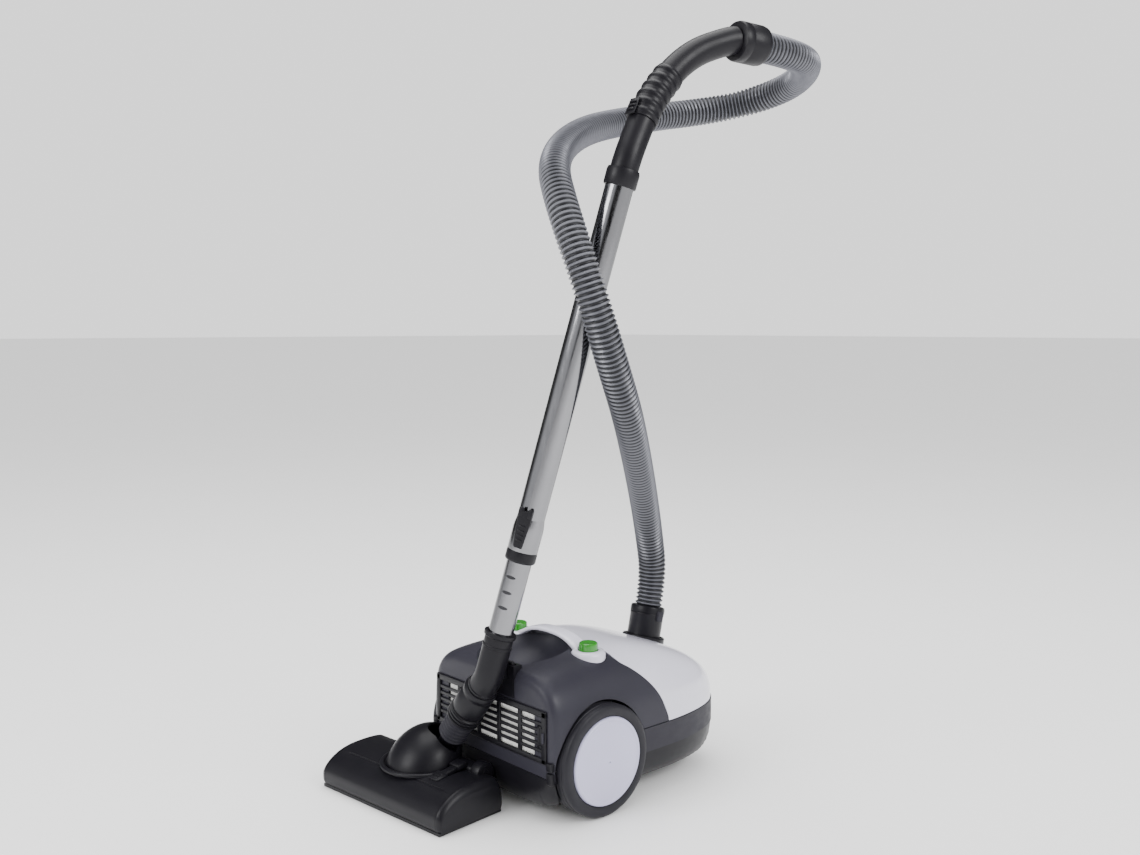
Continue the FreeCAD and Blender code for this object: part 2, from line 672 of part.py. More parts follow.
make_all()
doc.recompute()
shift = at(-size("origin_x"), -size("origin_y"), 0)
for item in pieces:
    item.Placement = shift.multiply(item.Placement)
check_all()
os.makedirs("parts", exist_ok=True)
for item in pieces:
    item.Shape.exportStep(f"parts/{item.Label}.step")
print(len(pieces), "pieces written")
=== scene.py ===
import math

import bmesh
import bpy
from bpy.props import FloatProperty, FloatVectorProperty, IntProperty, PointerProperty
from mathutils import Matrix, Vector
from mathutils.kdtree import KDTree


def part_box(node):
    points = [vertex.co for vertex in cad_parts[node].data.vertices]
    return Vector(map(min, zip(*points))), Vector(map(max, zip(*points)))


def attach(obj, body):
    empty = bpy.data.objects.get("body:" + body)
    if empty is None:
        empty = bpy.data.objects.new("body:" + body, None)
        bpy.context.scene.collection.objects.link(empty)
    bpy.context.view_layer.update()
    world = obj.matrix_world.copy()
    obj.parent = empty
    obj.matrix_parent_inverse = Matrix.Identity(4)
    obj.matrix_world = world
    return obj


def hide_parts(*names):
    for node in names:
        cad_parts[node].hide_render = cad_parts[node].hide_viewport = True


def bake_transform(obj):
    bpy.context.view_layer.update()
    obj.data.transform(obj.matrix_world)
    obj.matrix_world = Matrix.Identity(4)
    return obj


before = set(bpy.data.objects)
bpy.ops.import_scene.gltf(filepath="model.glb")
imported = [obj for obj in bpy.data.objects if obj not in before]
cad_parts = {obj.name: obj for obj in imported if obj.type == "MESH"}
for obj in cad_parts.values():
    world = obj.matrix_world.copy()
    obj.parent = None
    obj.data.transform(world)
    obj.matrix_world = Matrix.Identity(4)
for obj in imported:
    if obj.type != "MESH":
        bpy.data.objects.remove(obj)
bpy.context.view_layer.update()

bl_info = {
    "name": "Canister vacuum cleaner",
    "version": (1, 0, 0),
    "blender": (4, 5, 0),
    "location": "3D View > Sidebar > Vacuum",
    "description": "Builds the visual pieces of a canister vacuum cleaner with a parked wand",
    "category": "Add Mesh",
}

TAU = 2 * math.pi
UP, LEFT, AHEAD = Vector((0, 0, 1)), Vector((0, 1, 0)), Vector((1, 0, 0))


def axle_middle():
    """Floor point under the middle of the rear axle, where the layout is measured from."""
    left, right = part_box("tyre_left"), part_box("tyre_right")
    x = (left[0][0] + left[1][0]) / 2
    y = (left[1][1] + right[0][1]) / 2
    return Vector((x, y, 0))


AXLE = axle_middle()


def mm(x, y, z):
    """Layout point in millimetres from the rear axle, as a point of the frame in metres."""
    return AXLE + Vector((x, y, z)) / 1000


# ---- sizes and colours


def colour(name, value):
    return FloatVectorProperty(
        name=name, description="Base colour", subtype="COLOR", size=3, min=0, max=1, default=value
    )


def length(name, value, note):
    return FloatProperty(name=name, description=note, default=value, unit="LENGTH")


class VacuumSizes(bpy.types.PropertyGroup):
    hose_rib: length("Hose rib pitch", 0.0064, "Distance from one hose rib to the next")
    hose_depth: length("Hose rib depth", 0.0031, "Depth of the valleys between hose ribs")
    shell_wall: length("Shell wall", 0.0028, "Thickness of the moulded shells")
    seam: length("Seam", 0.0008, "Gap between neighbouring shells")
    louvres: IntProperty(
        name="Louvres", description="Slots in each column of the grille", default=6, min=2, max=12
    )


class VacuumColours(bpy.types.PropertyGroup):
    housing: colour("Upper housing", (0.024, 0.023, 0.032))
    black: colour("Black plastic", (0.0062, 0.0058, 0.0082))
    bumper: colour("Bumper band", (0.02, 0.019, 0.026))
    white: colour("White lid", (0.62, 0.61, 0.70))
    disc: colour("Wheel disc", (0.46, 0.45, 0.62))
    green: colour("Green buttons", (0.014, 0.215, 0.006))
    hose: colour("Hose", (0.112, 0.114, 0.13))
    grip: colour("Handle", (0.0085, 0.008, 0.0105))
    tyre: colour("Tyre", (0.0125, 0.012, 0.016))


def sizes():
    return bpy.context.scene.vacuum_sizes


def colours():
    return bpy.context.scene.vacuum_colours


# ---- materials


class Nodes:
    """Short way to wire a material's nodes."""

    def __init__(self, name):
        self.material = bpy.data.materials.new(name)
        self.material.use_nodes = True
        self.tree = self.material.node_tree
        self.tree.nodes.clear()
        self.shader = self.add("ShaderNodeBsdfPrincipled")
        output = self.add("ShaderNodeOutputMaterial")
        self.join(self.shader, "BSDF", output, "Surface")
        self.place = self.add("ShaderNodeTexCoord")

    def add(self, kind, **values):
        node = self.tree.nodes.new(kind)
        for key, value in values.items():
            setattr(node, key, value)
        return node

    def join(self, source, output, target, socket):
        self.tree.links.new(source.outputs[output], target.inputs[socket])

    def noise(self, scale, detail=4.0, stretch=None):
        """Noise in Object coordinates, stretched along the axes if asked."""
        texture = self.add("ShaderNodeTexNoise")
        texture.inputs["Scale"].default_value = scale
        texture.inputs["Detail"].default_value = detail
        if stretch:
            mapping = self.add("ShaderNodeMapping")
            mapping.inputs["Scale"].default_value = stretch
            self.join(self.place, "Object", mapping, "Vector")
            self.join(mapping, "Vector", texture, "Vector")
        else:
            self.join(self.place, "Object", texture, "Vector")
        return texture

    def spread(self, source, low, high, start=0.35, end=0.65):
        """Maps a noise's middle range to low..high."""
        ramp = self.add("ShaderNodeMapRange")
        for key, value in (("From Min", start), ("From Max", end), ("To Min", low), ("To Max", high)):
            ramp.inputs[key].default_value = value
        self.join(source, "Fac", ramp, "Value")
        return ramp

    def tint(self, source, base, swing):
        """Base colour that drifts a little darker and lighter."""
        ramp = self.add("ShaderNodeValToRGB")
        ramp.color_ramp.elements[0].position = 0.3
        ramp.color_ramp.elements[1].position = 0.7
        ramp.color_ramp.elements[0].color = (*[c * (1 - swing) for c in base], 1)
        ramp.color_ramp.elements[1].color = (*[min(1, c * (1 + swing)) for c in base], 1)
        self.join(source, "Fac", ramp, "Fac")
        self.join(ramp, "Color", self.shader, "Base Color")

    def bump(self, source, strength, distance):
        node = self.add("ShaderNodeBump")
        node.inputs["Strength"].default_value = strength
        node.inputs["Distance"].default_value = distance
        self.join(source, "Fac", node, "Height")
        self.join(node, "Normal", self.shader, "Normal")


def once(build):
    """Makes each named material the first time that it is asked for."""

    def find(name, *values):
        return bpy.data.materials.get(name) or build(Nodes(name), *values)

    return find


@once
def plastic(nodes, base, rough, coat=0.0, grain=900.0, depth=0.00012, strength=0.25):
    """Moulded plastic: fine grain, faint smears in the gloss, slow drift in the colour."""
    smears = nodes.noise(9.0, 6.0)
    nodes.tint(smears, base, 0.05)
    scuffs = nodes.noise(70.0, 8.0, (1.0, 0.5, 1.6))
    rough_map = nodes.spread(scuffs, rough * 0.92, min(1.0, rough * 1.1))
    nodes.join(rough_map, "Result", nodes.shader, "Roughness")
    nodes.bump(nodes.noise(grain, 2.0), strength, depth)
    nodes.shader.inputs["Coat Weight"].default_value = coat
    nodes.shader.inputs["Coat Roughness"].default_value = 0.12
    nodes.shader.inputs["Specular IOR Level"].default_value = 0.22 if max(base) < 0.1 else 0.5
    return nodes.material


@once
def steel(nodes, base, rough, stretch):
    """Drawn metal with fine lines and soft finger smears."""
    nodes.shader.inputs["Metallic"].default_value = 1.0
    nodes.tint(nodes.noise(14.0, 5.0), base, 0.06)
    lines = nodes.noise(260.0, 3.0, stretch)
    nodes.join(nodes.spread(lines, rough * 0.75, rough * 1.5), "Result", nodes.shader, "Roughness")
    nodes.bump(lines, 0.06, 0.0001)
    return nodes.material


@once
def soft(nodes, base, scale):
    """Fibres of paper, felt or bristle."""
    fibres = nodes.noise(scale, 8.0, (1.0, 1.0, 3.0))
    nodes.tint(fibres, base, 0.18)
    nodes.shader.inputs["Roughness"].default_value = 0.92
    nodes.bump(fibres, 0.5, 0.0006)
    return nodes.material


MOULDINGS = {
    # colour: (finish, roughness, coat, grain scale, grain depth, grain strength)
    "housing": ("Dark grey housing", 0.38, 0.0, 1300, 0.00006, 0.2),
    "black": ("Black plastic", 0.36, 0.0, 1100, 0.00006, 0.2),
    "bumper": ("Soft bumper", 0.5, 0.0, 1100, 0.0002, 0.35),
    "white": ("Glossy white", 0.17, 0.6, 600, 0.00004, 0.1),
    "disc": ("Lilac white disc", 0.32, 0.25, 900, 0.00006, 0.2),
    "tyre": ("Tyre", 0.42, 0.0, 1200, 0.0002, 0.35),
    "green": ("Green button", 0.22, 0.5, 700, 0.00005, 0.12),
    "grip": ("Handle black", 0.36, 0.0, 1100, 0.00006, 0.2),
}


def moulded(tone):
    """Moulded finish in one of the panel's colours."""
    name, *values = MOULDINGS[tone]
    return plastic(name, getattr(colours(), tone), *values)


@once
def ribbed_plastic(nodes):
    """Metallic lilac plastic with painted shade darkening the valleys between its ribs and a painted highlight
    lightening the rib crests.
    """
    painted_rib_light = nodes.add("ShaderNodeAttribute", attribute_name="rib_height")
    # painted shade in the rib valleys and painted highlight on the rib crests, following rib_height
    nodes.tint(painted_rib_light, [c * 0.8 for c in colours().hose], 0.75)
    nodes.shader.inputs["Metallic"].default_value = 0.5
    nodes.join(nodes.spread(nodes.noise(120.0, 4.0), 0.3, 0.46), "Result", nodes.shader, "Roughness")
    nodes.bump(nodes.noise(800.0, 2.0), 0.2, 0.0001)
    return nodes.material


def tube_material():
    return steel("Polished tube", (0.25, 0.25, 0.262), 0.13, (1.0, 1.0, 0.06))


def axle_material():
    return steel("Axle steel", (0.55, 0.55, 0.56), 0.3, (1.0, 0.2, 1.0))


# ---- mesh building


def form(bm, name="form", merge=1e-7):
    """Object made from a bmesh: a cutter, or the start of a piece."""
    bmesh.ops.remove_doubles(bm, verts=bm.verts, dist=merge)
    bmesh.ops.recalc_face_normals(bm, faces=bm.faces)
    mesh = bpy.data.meshes.new(name)
    bm.to_mesh(mesh)
    bm.free()
    made = bpy.data.objects.new(name, mesh)
    bpy.context.scene.collection.objects.link(made)
    return made


def finish_piece(name, bm, finish, body, replaced=(), angle=38):
    """Shaded piece that rides on a body; finish is a material or one of the panel's colours."""
    piece = form(bm, name, 1e-6)
    piece.data.shade_smooth()
    piece.data.set_sharp_from_angle(angle=math.radians(angle))
    piece.data.materials.append(moulded(finish) if finish in MOULDINGS else finish)
    if body:
        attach(piece, body)
    if replaced:
        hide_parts(*replaced)
    return piece


def skin_for(node, bm, finish, body, angle=38, name=None):
    """Piece that stands for one CAD node, named after it unless told otherwise."""
    return finish_piece((name or node) + "_skin", bm, finish, body, [node], angle)


def axes_along(direction, towards=UP):
    """Rotation whose Z axis is direction and whose X axis leans towards the given way."""
    z = direction.normalized()
    x = towards - z * towards.dot(z)
    if x.length < 1e-6:
        x = AHEAD - z * z.x
    x.normalize()
    y = z.cross(x)
    return Matrix((x, y, z)).transposed()


def skin_rings(bm, rings, wrap=False):
    """Grid bent through closed rings of equal count; the ends are capped, or joined if wrap."""
    count = len(rings[0])
    if wrap:
        rings = rings + rings[:1]
    made = bmesh.ops.create_grid(bm, x_segments=count, y_segments=len(rings) - 1, size=1)
    for index, vertex in enumerate(made["verts"]):
        row, column = divmod(index, count + 1)
        vertex.co = rings[row][column % count]
    bmesh.ops.remove_doubles(bm, verts=made["verts"], dist=1e-7)
    if not wrap:
        rims = [edge for edge in bm.edges if edge.is_boundary]
        bmesh.ops.holes_fill(bm, edges=rims, sides=0)
    return bm


def around(count):
    """Angles of a full turn in equal steps."""
    return [TAU * i / count for i in range(count)]


def squared(value, power):
    """Cosine or sine pushed outwards, so that a circle becomes a rounded box."""
    return math.copysign(abs(value) ** power, value)


def circle(centre, turn, radius, count):
    return [centre + turn @ Vector((radius * math.cos(a), radius * math.sin(a), 0)) for a in around(count)]


def turned(bm, profile, start, direction, count=64, closed=False):
    """Body of revolution: profile points are (radius, height) in millimetres."""
    turn = axes_along(direction)
    axis = direction.normalized()
    rings = [circle(start + axis * (h / 1000), turn, max(r, 0.001) / 1000, count) for r, h in profile]
    return skin_rings(bm, rings, closed)


def block(bm, low, high, bevel, turn=None, segments=3):
    """Box with softened edges, in millimetres in the layout or in a given frame."""
    made = bmesh.ops.create_cube(bm, size=1)["verts"]
    middle = [(a + b) / 2 for a, b in zip(low, high)]
    bmesh.ops.scale(bm, vec=[(b - a) / 1000 for a, b in zip(low, high)], verts=made)
    edges = list({edge for vertex in made for edge in vertex.link_edges})
    cut = bmesh.ops.bevel(
        bm, geom=edges, offset=bevel / 1000, segments=segments, affect="EDGES", profile=0.5, material=-1
    )
    move = turn @ Matrix.Translation(Vector(middle) / 1000) if turn else Matrix.Translation(mm(*middle))
    bmesh.ops.transform(bm, matrix=move, verts=cut["verts"])
    return bm


def smooth_row(rows, steps):
    """Catmull-Rom rows through a short table of values."""
    result = []
    last = len(rows) - 1
    for i in range(last):
        a, b, c, d = rows[max(i - 1, 0)], rows[i], rows[i + 1], rows[min(i + 2, last)]
        for k in range(steps):
            u = k / steps
            weights = (
                -0.5 * u + u * u - 0.5 * u**3, 1 - 2.5 * u * u + 1.5 * u**3,
                0.5 * u + 2 * u * u - 1.5 * u**3, -0.5 * u * u + 0.5 * u**3,
            )
            result.append(tuple(sum(w * r[j] for w, r in zip(weights, (a, b, c, d))) for j in range(len(b))))
    result.append(tuple(rows[last]))
    return result


def boolean(target, cutter, operation="DIFFERENCE"):
    """Applies one boolean to target's mesh."""
    modifier = target.modifiers.new("cut", "BOOLEAN")
    modifier.operation = operation
    modifier.solver = "EXACT"
    modifier.object = cutter
    bpy.context.view_layer.update()
    graph = bpy.context.evaluated_depsgraph_get()
    result = bpy.data.meshes.new_from_object(target.evaluated_get(graph))
    if not result.polygons:
        raise RuntimeError(f"boolean left nothing of {target.name}")
    target.modifiers.clear()
    target.data = result
    bpy.data.objects.remove(cutter)
    return target


def copy_of(source):
    made = bpy.data.objects.new(source.name + "_copy", source.data.copy())
    bpy.context.scene.collection.objects.link(made)
    return made


def box_tool(low, high, bevel=0.0):
    bm = bmesh.new()
    if bevel:
        return form(block(bm, low, high, bevel))
    made = bmesh.ops.create_cube(bm, size=1)["verts"]
    bmesh.ops.scale(bm, vec=Vector([b - a for a, b in zip(low, high)]) / 1000, verts=made)
    bmesh.ops.translate(bm, vec=mm(*[(a + b) / 2 for a, b in zip(low, high)]), verts=made)
    return form(bm)


def rod_tool(start, direction, radius, reach, count=96):
    return form(turned(bmesh.new(), [(radius, 0), (radius, reach)], start, direction, count))


def turned_skin(node, profile, start, direction, count, finish, body, closed=True):
    """Body of revolution that stands for a CAD node, by default a ring with a bore."""
    return skin_for(node, turned(bmesh.new(), profile, start, direction, count, closed), finish, body)


def finish_mesh(target, node, finish, body, angle=32, name=None):
    """Cleans a carved mesh and makes it the piece that stands for a CAD node."""
    bm = bmesh.new()
    bm.from_mesh(target.data)
    bpy.data.objects.remove(target)
    bmesh.ops.remove_doubles(bm, verts=bm.verts, dist=2e-6)
    bmesh.ops.dissolve_degenerate(bm, edges=bm.edges, dist=1e-6)
    return skin_for(node, bm, finish, body, angle, name)


def assign(node, material):
    """Gives a CAD node a better material."""
    target = bpy.data.objects[node]
    if not target.material_slots:
        target.data.materials.append(material)
    for slot in target.material_slots:
        slot.material = material


# ---- layout of the wand and hose

WAND_AXIS = Vector((0.1776, -0.187, 0.9662)).normalized()
BEND = mm(-105, -32, 179)
PIVOT = mm(-109, 72, 50)
LEG_AXIS = (BEND - PIVOT).normalized()
LEG_LENGTH = (BEND - PIVOT).length * 1000
PORT = mm(206, 0, 166)
PORT_AXIS = Vector((0.22, 0, 0.9755)).normalized()
TUBE_TOP = 629
BUSH_AT = 168


def on_wand(distance):
    return BEND + WAND_AXIS * (distance / 1000)


def on_leg(distance):
    return PIVOT + LEG_AXIS * (distance / 1000)


def on_port(distance):
    return PORT + PORT_AXIS * (distance / 1000)


HANDLE = [
    on_wand(TUBE_TOP), mm(30, -153, 848), mm(60, -151, 900),
    mm(118, -156, 958), mm(176, -178, 982), mm(228, -186, 980),
]
HAND_AXIS = (HANDLE[-1] - HANDLE[-2]).normalized()


def on_hand(distance):
    """Point on the handle's last run, counted back from its end."""
    return HANDLE[-1] - HAND_AXIS * (distance / 1000)


HOSE = [
    on_port(47.3), on_port(95), mm(209, -8, 318), mm(165, -40, 379), mm(101, -88, 447),
    mm(38, -133, 512), mm(-6, -153, 571), mm(-36, -160, 627), mm(-52, -153, 678),
    mm(-59, -137, 725), mm(-55, -112, 770), mm(-33, -73, 813), mm(22, -28, 851),
    mm(100, 12, 884), mm(185, 38, 907), mm(268, 40, 925), mm(340, 22, 938), mm(392, -18, 950),
    mm(408, -90, 965), mm(375, -152, 977), on_hand(-75), HANDLE[-1],
]
HOSE_RADIUS = 0.02
SPLITS = (5, 12)


def spline_points(points):
    """Points along the smooth line through a route, as Blender's own NURBS gives them."""
    curve = bpy.data.curves.new("route", "CURVE")
    curve.dimensions = "3D"
    curve.resolution_u = 24
    spline = curve.splines.new("NURBS")
    spline.points.add(len(points) - 1)
    for target, point in zip(spline.points, points):
        target.co = (*point, 1)
    spline.order_u = 3
    spline.use_endpoint_u = True
    carrier = bpy.data.objects.new("route", curve)
    bpy.context.scene.collection.objects.link(carrier)
    bpy.context.view_layer.update()
    graph = bpy.context.evaluated_depsgraph_get()
    mesh = bpy.data.meshes.new_from_object(carrier.evaluated_get(graph))
    line = [vertex.co.copy() for vertex in mesh.vertices]
    bpy.data.objects.remove(carrier)
    bpy.data.meshes.remove(mesh)
    bpy.data.curves.remove(curve)
    return line


def path_length(line):
    return sum((b - a).length for a, b in zip(line, line[1:]))


def even_steps(line, step):
    """Evenly spaced points along a line, both ends kept."""
    total = path_length(line)
    count = max(2, round(total / step))
    targets = [total * i / count for i in range(count + 1)]
    result, walked, index = [], 0.0, 0
    for target in targets:
        while index < len(line) - 2 and walked + (line[index + 1] - line[index]).length < target:
            walked += (line[index + 1] - line[index]).length
            index += 1
        leg = line[index + 1] - line[index]
        result.append(line[index] + leg * min(1.0, (target - walked) / max(leg.length, 1e-9)))
    return result


def tube_rings(line, radii, count, towards=UP):
    """Circles square to a line, turned as little as possible from one to the next."""
    rings = []
    side = None
    for i, point in enumerate(line):
        heading = (line[min(i + 1, len(line) - 1)] - line[max(i - 1, 0)]).normalized()
        if side is None:
            side = axes_along(heading, towards).col[0].copy()
        side = (side - heading * side.dot(heading)).normalized()
        turn = Matrix((side, heading.cross(side), heading)).transposed()
        rings.append(circle(point, turn, radii[i], count))
    return rings


# ---- canister shells

REAR, FRONT = -79.0, 270.0
STATIONS = [
    # x, half width, bottom, top, squareness
    (-79.0, 113, 44, 168, 6.0), (-78.2, 119, 36, 174, 6.0), (-74.5, 125.5, 25, 181, 5.6),
    (-65, 129.5, 15, 187, 5.2), (-42, 131, 9.5, 191.5, 4.8), (0, 131, 8, 195, 4.5),
    (42, 131, 8, 196.5, 4.4), (90, 131, 8, 194, 4.4), (130, 131, 8, 188, 4.4),
    (165, 128, 8, 179, 4.4), (200, 120.5, 8, 167, 4.3), (228, 109, 10, 153.5, 4.1),
    (248, 94, 17, 140, 3.9), (260, 78, 27, 127, 3.6), (267, 59, 39, 113, 3.2), (270, 34, 56, 97, 2.7),
]
RING = 144
BAND_LOW, BAND_TOP = 61, 94
BUTTON_X, BUTTON_SIDES = 29, (-72, 72)
HUB_HEIGHT = 72


def shell_ring(x, half, bottom, top, power):
    middle, tall = (top + bottom) / 2, (top - bottom) / 2
    ring = []
    for a in around(RING):
        y = half * squared(math.cos(a), 2 / power)
        z = middle + tall * squared(math.sin(a), 2 / power)
        if z > 104:
            y *= 1 - 0.17 * ((z - 104) / 92) ** 2
        ring.append(mm(x, y, z))
    return ring


def canister_block(inset):
    """Canister's smooth outer form, drawn in by inset millimetres."""
    rows = smooth_row(STATIONS, 4)
    rings = []
    for x, half, bottom, top, power in rows:
        x = max(REAR + inset, min(FRONT - inset, x))
        rings.append(shell_ring(x, half - inset, bottom + inset, top - inset, power))
    return form(skin_rings(bmesh.new(), rings), "canister_block")


def hollow_out(target, grow):
    """Wheel arches, hand recess, caster well and bracket notch, grown by the wall."""
    for sign in (-1, 1):
        start = mm(0, sign * (96 - grow), HUB_HEIGHT)
        boolean(target, rod_tool(start, sign * LEFT, 75.5 + grow, 60))
    boolean(target, rod_tool(mm(206, 0, -1), UP, 37 + grow, 49 + grow))
    bm = bmesh.new()
    made = bmesh.ops.create_uvsphere(bm, u_segments=72, v_segments=40, radius=1)
    reach = (75 + grow, 60 + grow, 46 + grow)
    bmesh.ops.scale(bm, vec=[r / 1000 for r in reach], verts=made["verts"])
    bmesh.ops.translate(bm, vec=mm(-25, 0, 206), verts=made["verts"])
    boolean(target, form(bm))
    boolean(target, box_tool((-100, -50.5 - grow, 149.5 - grow), (-65.5 + grow, -15.5 + grow, 260)))
    return target


def lid_cutter(shift, ease=0.0):
    """Everything in front of the lid's curved rear edge; ease opens the gap above the hinge."""
    edge = [
        (52 + ease, 215), (50 + ease, 192), (56, 181), (68, 172), (85, 157), (101, 138), (113, 116), (121, 94),
        (125, 60),
    ]
    edge = [(x + shift, z) for x, z in smooth_row(edge, 4)]
    outline = edge + [(330, 60), (330, 215)]
    rings = [[mm(x, y, z) for x, z in outline] for y in (-220, 220)]
    return form(skin_rings(bmesh.new(), rings))


class VACUUM_OT_shells(bpy.types.Operator):
    """Lower housing, bumper band, upper housing and lid, carved from one smooth form"""

    bl_idname = "vacuum.shells"
    bl_label = "Canister shells"

    def execute(self, context):
        wall, seam = sizes().shell_wall * 1000, sizes().seam * 1000
        shell = hollow_out(canister_block(0), 0)
        boolean(shell, hollow_out(canister_block(wall), wall))
        lower = boolean(copy_of(shell), box_tool((-300, -300, -20), (400, 300, BAND_LOW)), "INTERSECT")
        low = BAND_LOW + seam
        band = boolean(copy_of(shell), box_tool((20, -300, low), (400, 300, BAND_TOP)), "INTERSECT")
        cover = boolean(copy_of(shell), box_tool((-300, -300, low), (400, 300, 300)), "INTERSECT")
        boolean(cover, box_tool((20 - seam, -300, 40), (500, 300, BAND_TOP + seam)))
        bpy.data.objects.remove(shell)
        lid = boolean(copy_of(cover), lid_cutter(0.8 + seam, 2.0), "INTERSECT")
        boolean(cover, lid_cutter(0.8))
        for y in BUTTON_SIDES:
            for half in (cover, lid):
                boolean(half, rod_tool(mm(BUTTON_X, y, 165), UP, 23.5, 60))
        boolean(cover, box_tool((-100, -90, 85), (-70, 90, 143)))
        boolean(lid, rod_tool(on_port(-30), PORT_AXIS, 31, 60))
        boolean(lid, box_tool((256, -20.6, 60), (290, 20.6, 113), 2))
        boolean(lower, rod_tool(mm(-60, 0, 40), -AHEAD, 11, 40))
        # the lower housing's flanks stand in from the band, and the band stands proud of the shell
        for vertex in lower.data.vertices:
            across = vertex.co.y - AXLE.y
            vertex.co.y = AXLE.y + across * (0.982 if abs(across) > 0.1 else 1)
        for vertex in band.data.vertices:
            vertex.co.y = AXLE.y + (vertex.co.y - AXLE.y) * 1.008
            vertex.co.x += max(0.0, vertex.co.x - mm(200, 0, 0).x) * 0.015
        finish_mesh(lower, "lower_housing", "black", "canister")
        finish_mesh(band, "bumper_band", "bumper", "canister")
        finish_mesh(cover, "upper_housing", "housing", "canister")
        finish_mesh(lid, "lid", "white", "lid")
        return {"FINISHED"}


# ---- canister fittings


class VACUUM_OT_fittings(bpy.types.Operator):
    """Carry handle, foot buttons, hose port, latch and clip blocks"""

    bl_idname = "vacuum.fittings"
    bl_label = "Handle, buttons and port"

    def execute(self, context):
        self.carry_handle()
        self.buttons()
        self.port()
        self.small_parts()
        return {"FINISHED"}

    def carry_handle(self):
        rise = ((-72, 187), (-50, 200), (-24, 209.5), (24, 209.5), (50, 200), (72, 187))
        line = even_steps(spline_points([mm(BUTTON_X + 1, y, z) for y, z in rise]), 0.003)
        rings = []
        for i, point in enumerate(line):
            heading = (line[min(i + 1, len(line) - 1)] - line[max(i - 1, 0)]).normalized()
            up = AHEAD.cross(heading)
            reach = abs(2 * i / (len(line) - 1) - 1)
            wide, thick = 12.0 + 3.5 * reach**4, 3.4 + 1.6 * reach**3
            ring = []
            for a in around(40):
                x, z = wide * squared(math.cos(a), 0.55), thick * squared(math.sin(a), 0.7)
                ring.append(point + AHEAD * (x / 1000) - up * (z / 1000))
            rings.append(ring)
        strap = form(skin_rings(bmesh.new(), rings), "strap")
        pad = [
            (0, 172), (22, 172), (22.9, 174), (23, 190), (22.4, 193.5), (20.6, 195.6), (17.5, 196.6),
            (14.5, 196.6), (0, 196.6),
        ]
        well = [(0, 177), (13, 177), (13, 194.6), (14.4, 198), (14.4, 230), (0, 230)]
        for profile, count, operation in ((pad, 72, "UNION"), (well, 64, "DIFFERENCE")):
            for y in BUTTON_SIDES:
                part = turned(bmesh.new(), profile, mm(BUTTON_X, y, 0), UP, count)
                boolean(strap, form(part), operation)
        finish_mesh(strap, "carry_handle", "white", "canister")

    def buttons(self):
        profile = [
            (0, 182), (12.4, 182), (12.6, 184), (12.6, 203.6), (12.1, 205.6), (10.8, 206.6), (6, 206.4),
            (0, 206.0),
        ]
        for body, y in zip(("power", "rewind"), BUTTON_SIDES):
            node, start = body + "_button", mm(BUTTON_X, y, 0)
            turned_skin(node, profile, start, UP, 56, "green", body, False)

    def port(self):
        ring = [
            (22.6, -22), (30.4, -22), (30.8, -20), (30.8, 2.6), (29.6, 4.0), (27.2, 4.0), (25.9, 2.8),
            (25.9, 0.6), (22.6, 0.6),
        ]
        turned_skin("port_ring", ring, PORT, PORT_AXIS, 80, "black", "lid")
        shape = [
            (16.2, -20), (22, -20), (22, 1.2), (24.0, 1.6), (24.2, 4.6), (24.3, 34), (24.7, 35),
            (24.7, 36.4), (24.2, 37.2), (25, 38), (25, 43.5), (24, 46.4), (21.4, 47.3), (16.2, 47.3),
        ]
        turned_skin("hose_connector", shape, PORT, PORT_AXIS, 80, "black", "lid")
        frame_port = Matrix.Translation(PORT) @ axes_along(PORT_AXIS, AHEAD).to_4x4()
        tab = block(bmesh.new(), (-5.2, -27.8, 27.8), (5.2, -22.6, 42.2), 1.2, frame_port)
        skin_for("connector_tab", tab, "bumper", "tab")

    def small_parts(self):
        catch = block(bmesh.new(), (258.6, -19.6, 95.6), (269.8, 19.6, 109.2), 2.4)
        skin_for("lid_latch", catch, "housing", "latch")
        bm = bmesh.new()
        for sign in (-1, 1):
            for low, high in ((56, 71), (73, 84)):
                block(bm, (-81.5, sign * 119 - 5, low), (-69, sign * 119 + 5, high), 1.4)
        finish_piece("corner_clips", bm, "black", "canister")
        gland = [(4, 0), (10.6, 0), (10.7, 11), (9.6, 13.6), (6.4, 14), (4.4, 12.6)]
        start = mm(-64, 0, 40)
        turned_skin("cord_outlet", gland, start, -AHEAD, 48, "black", "canister")


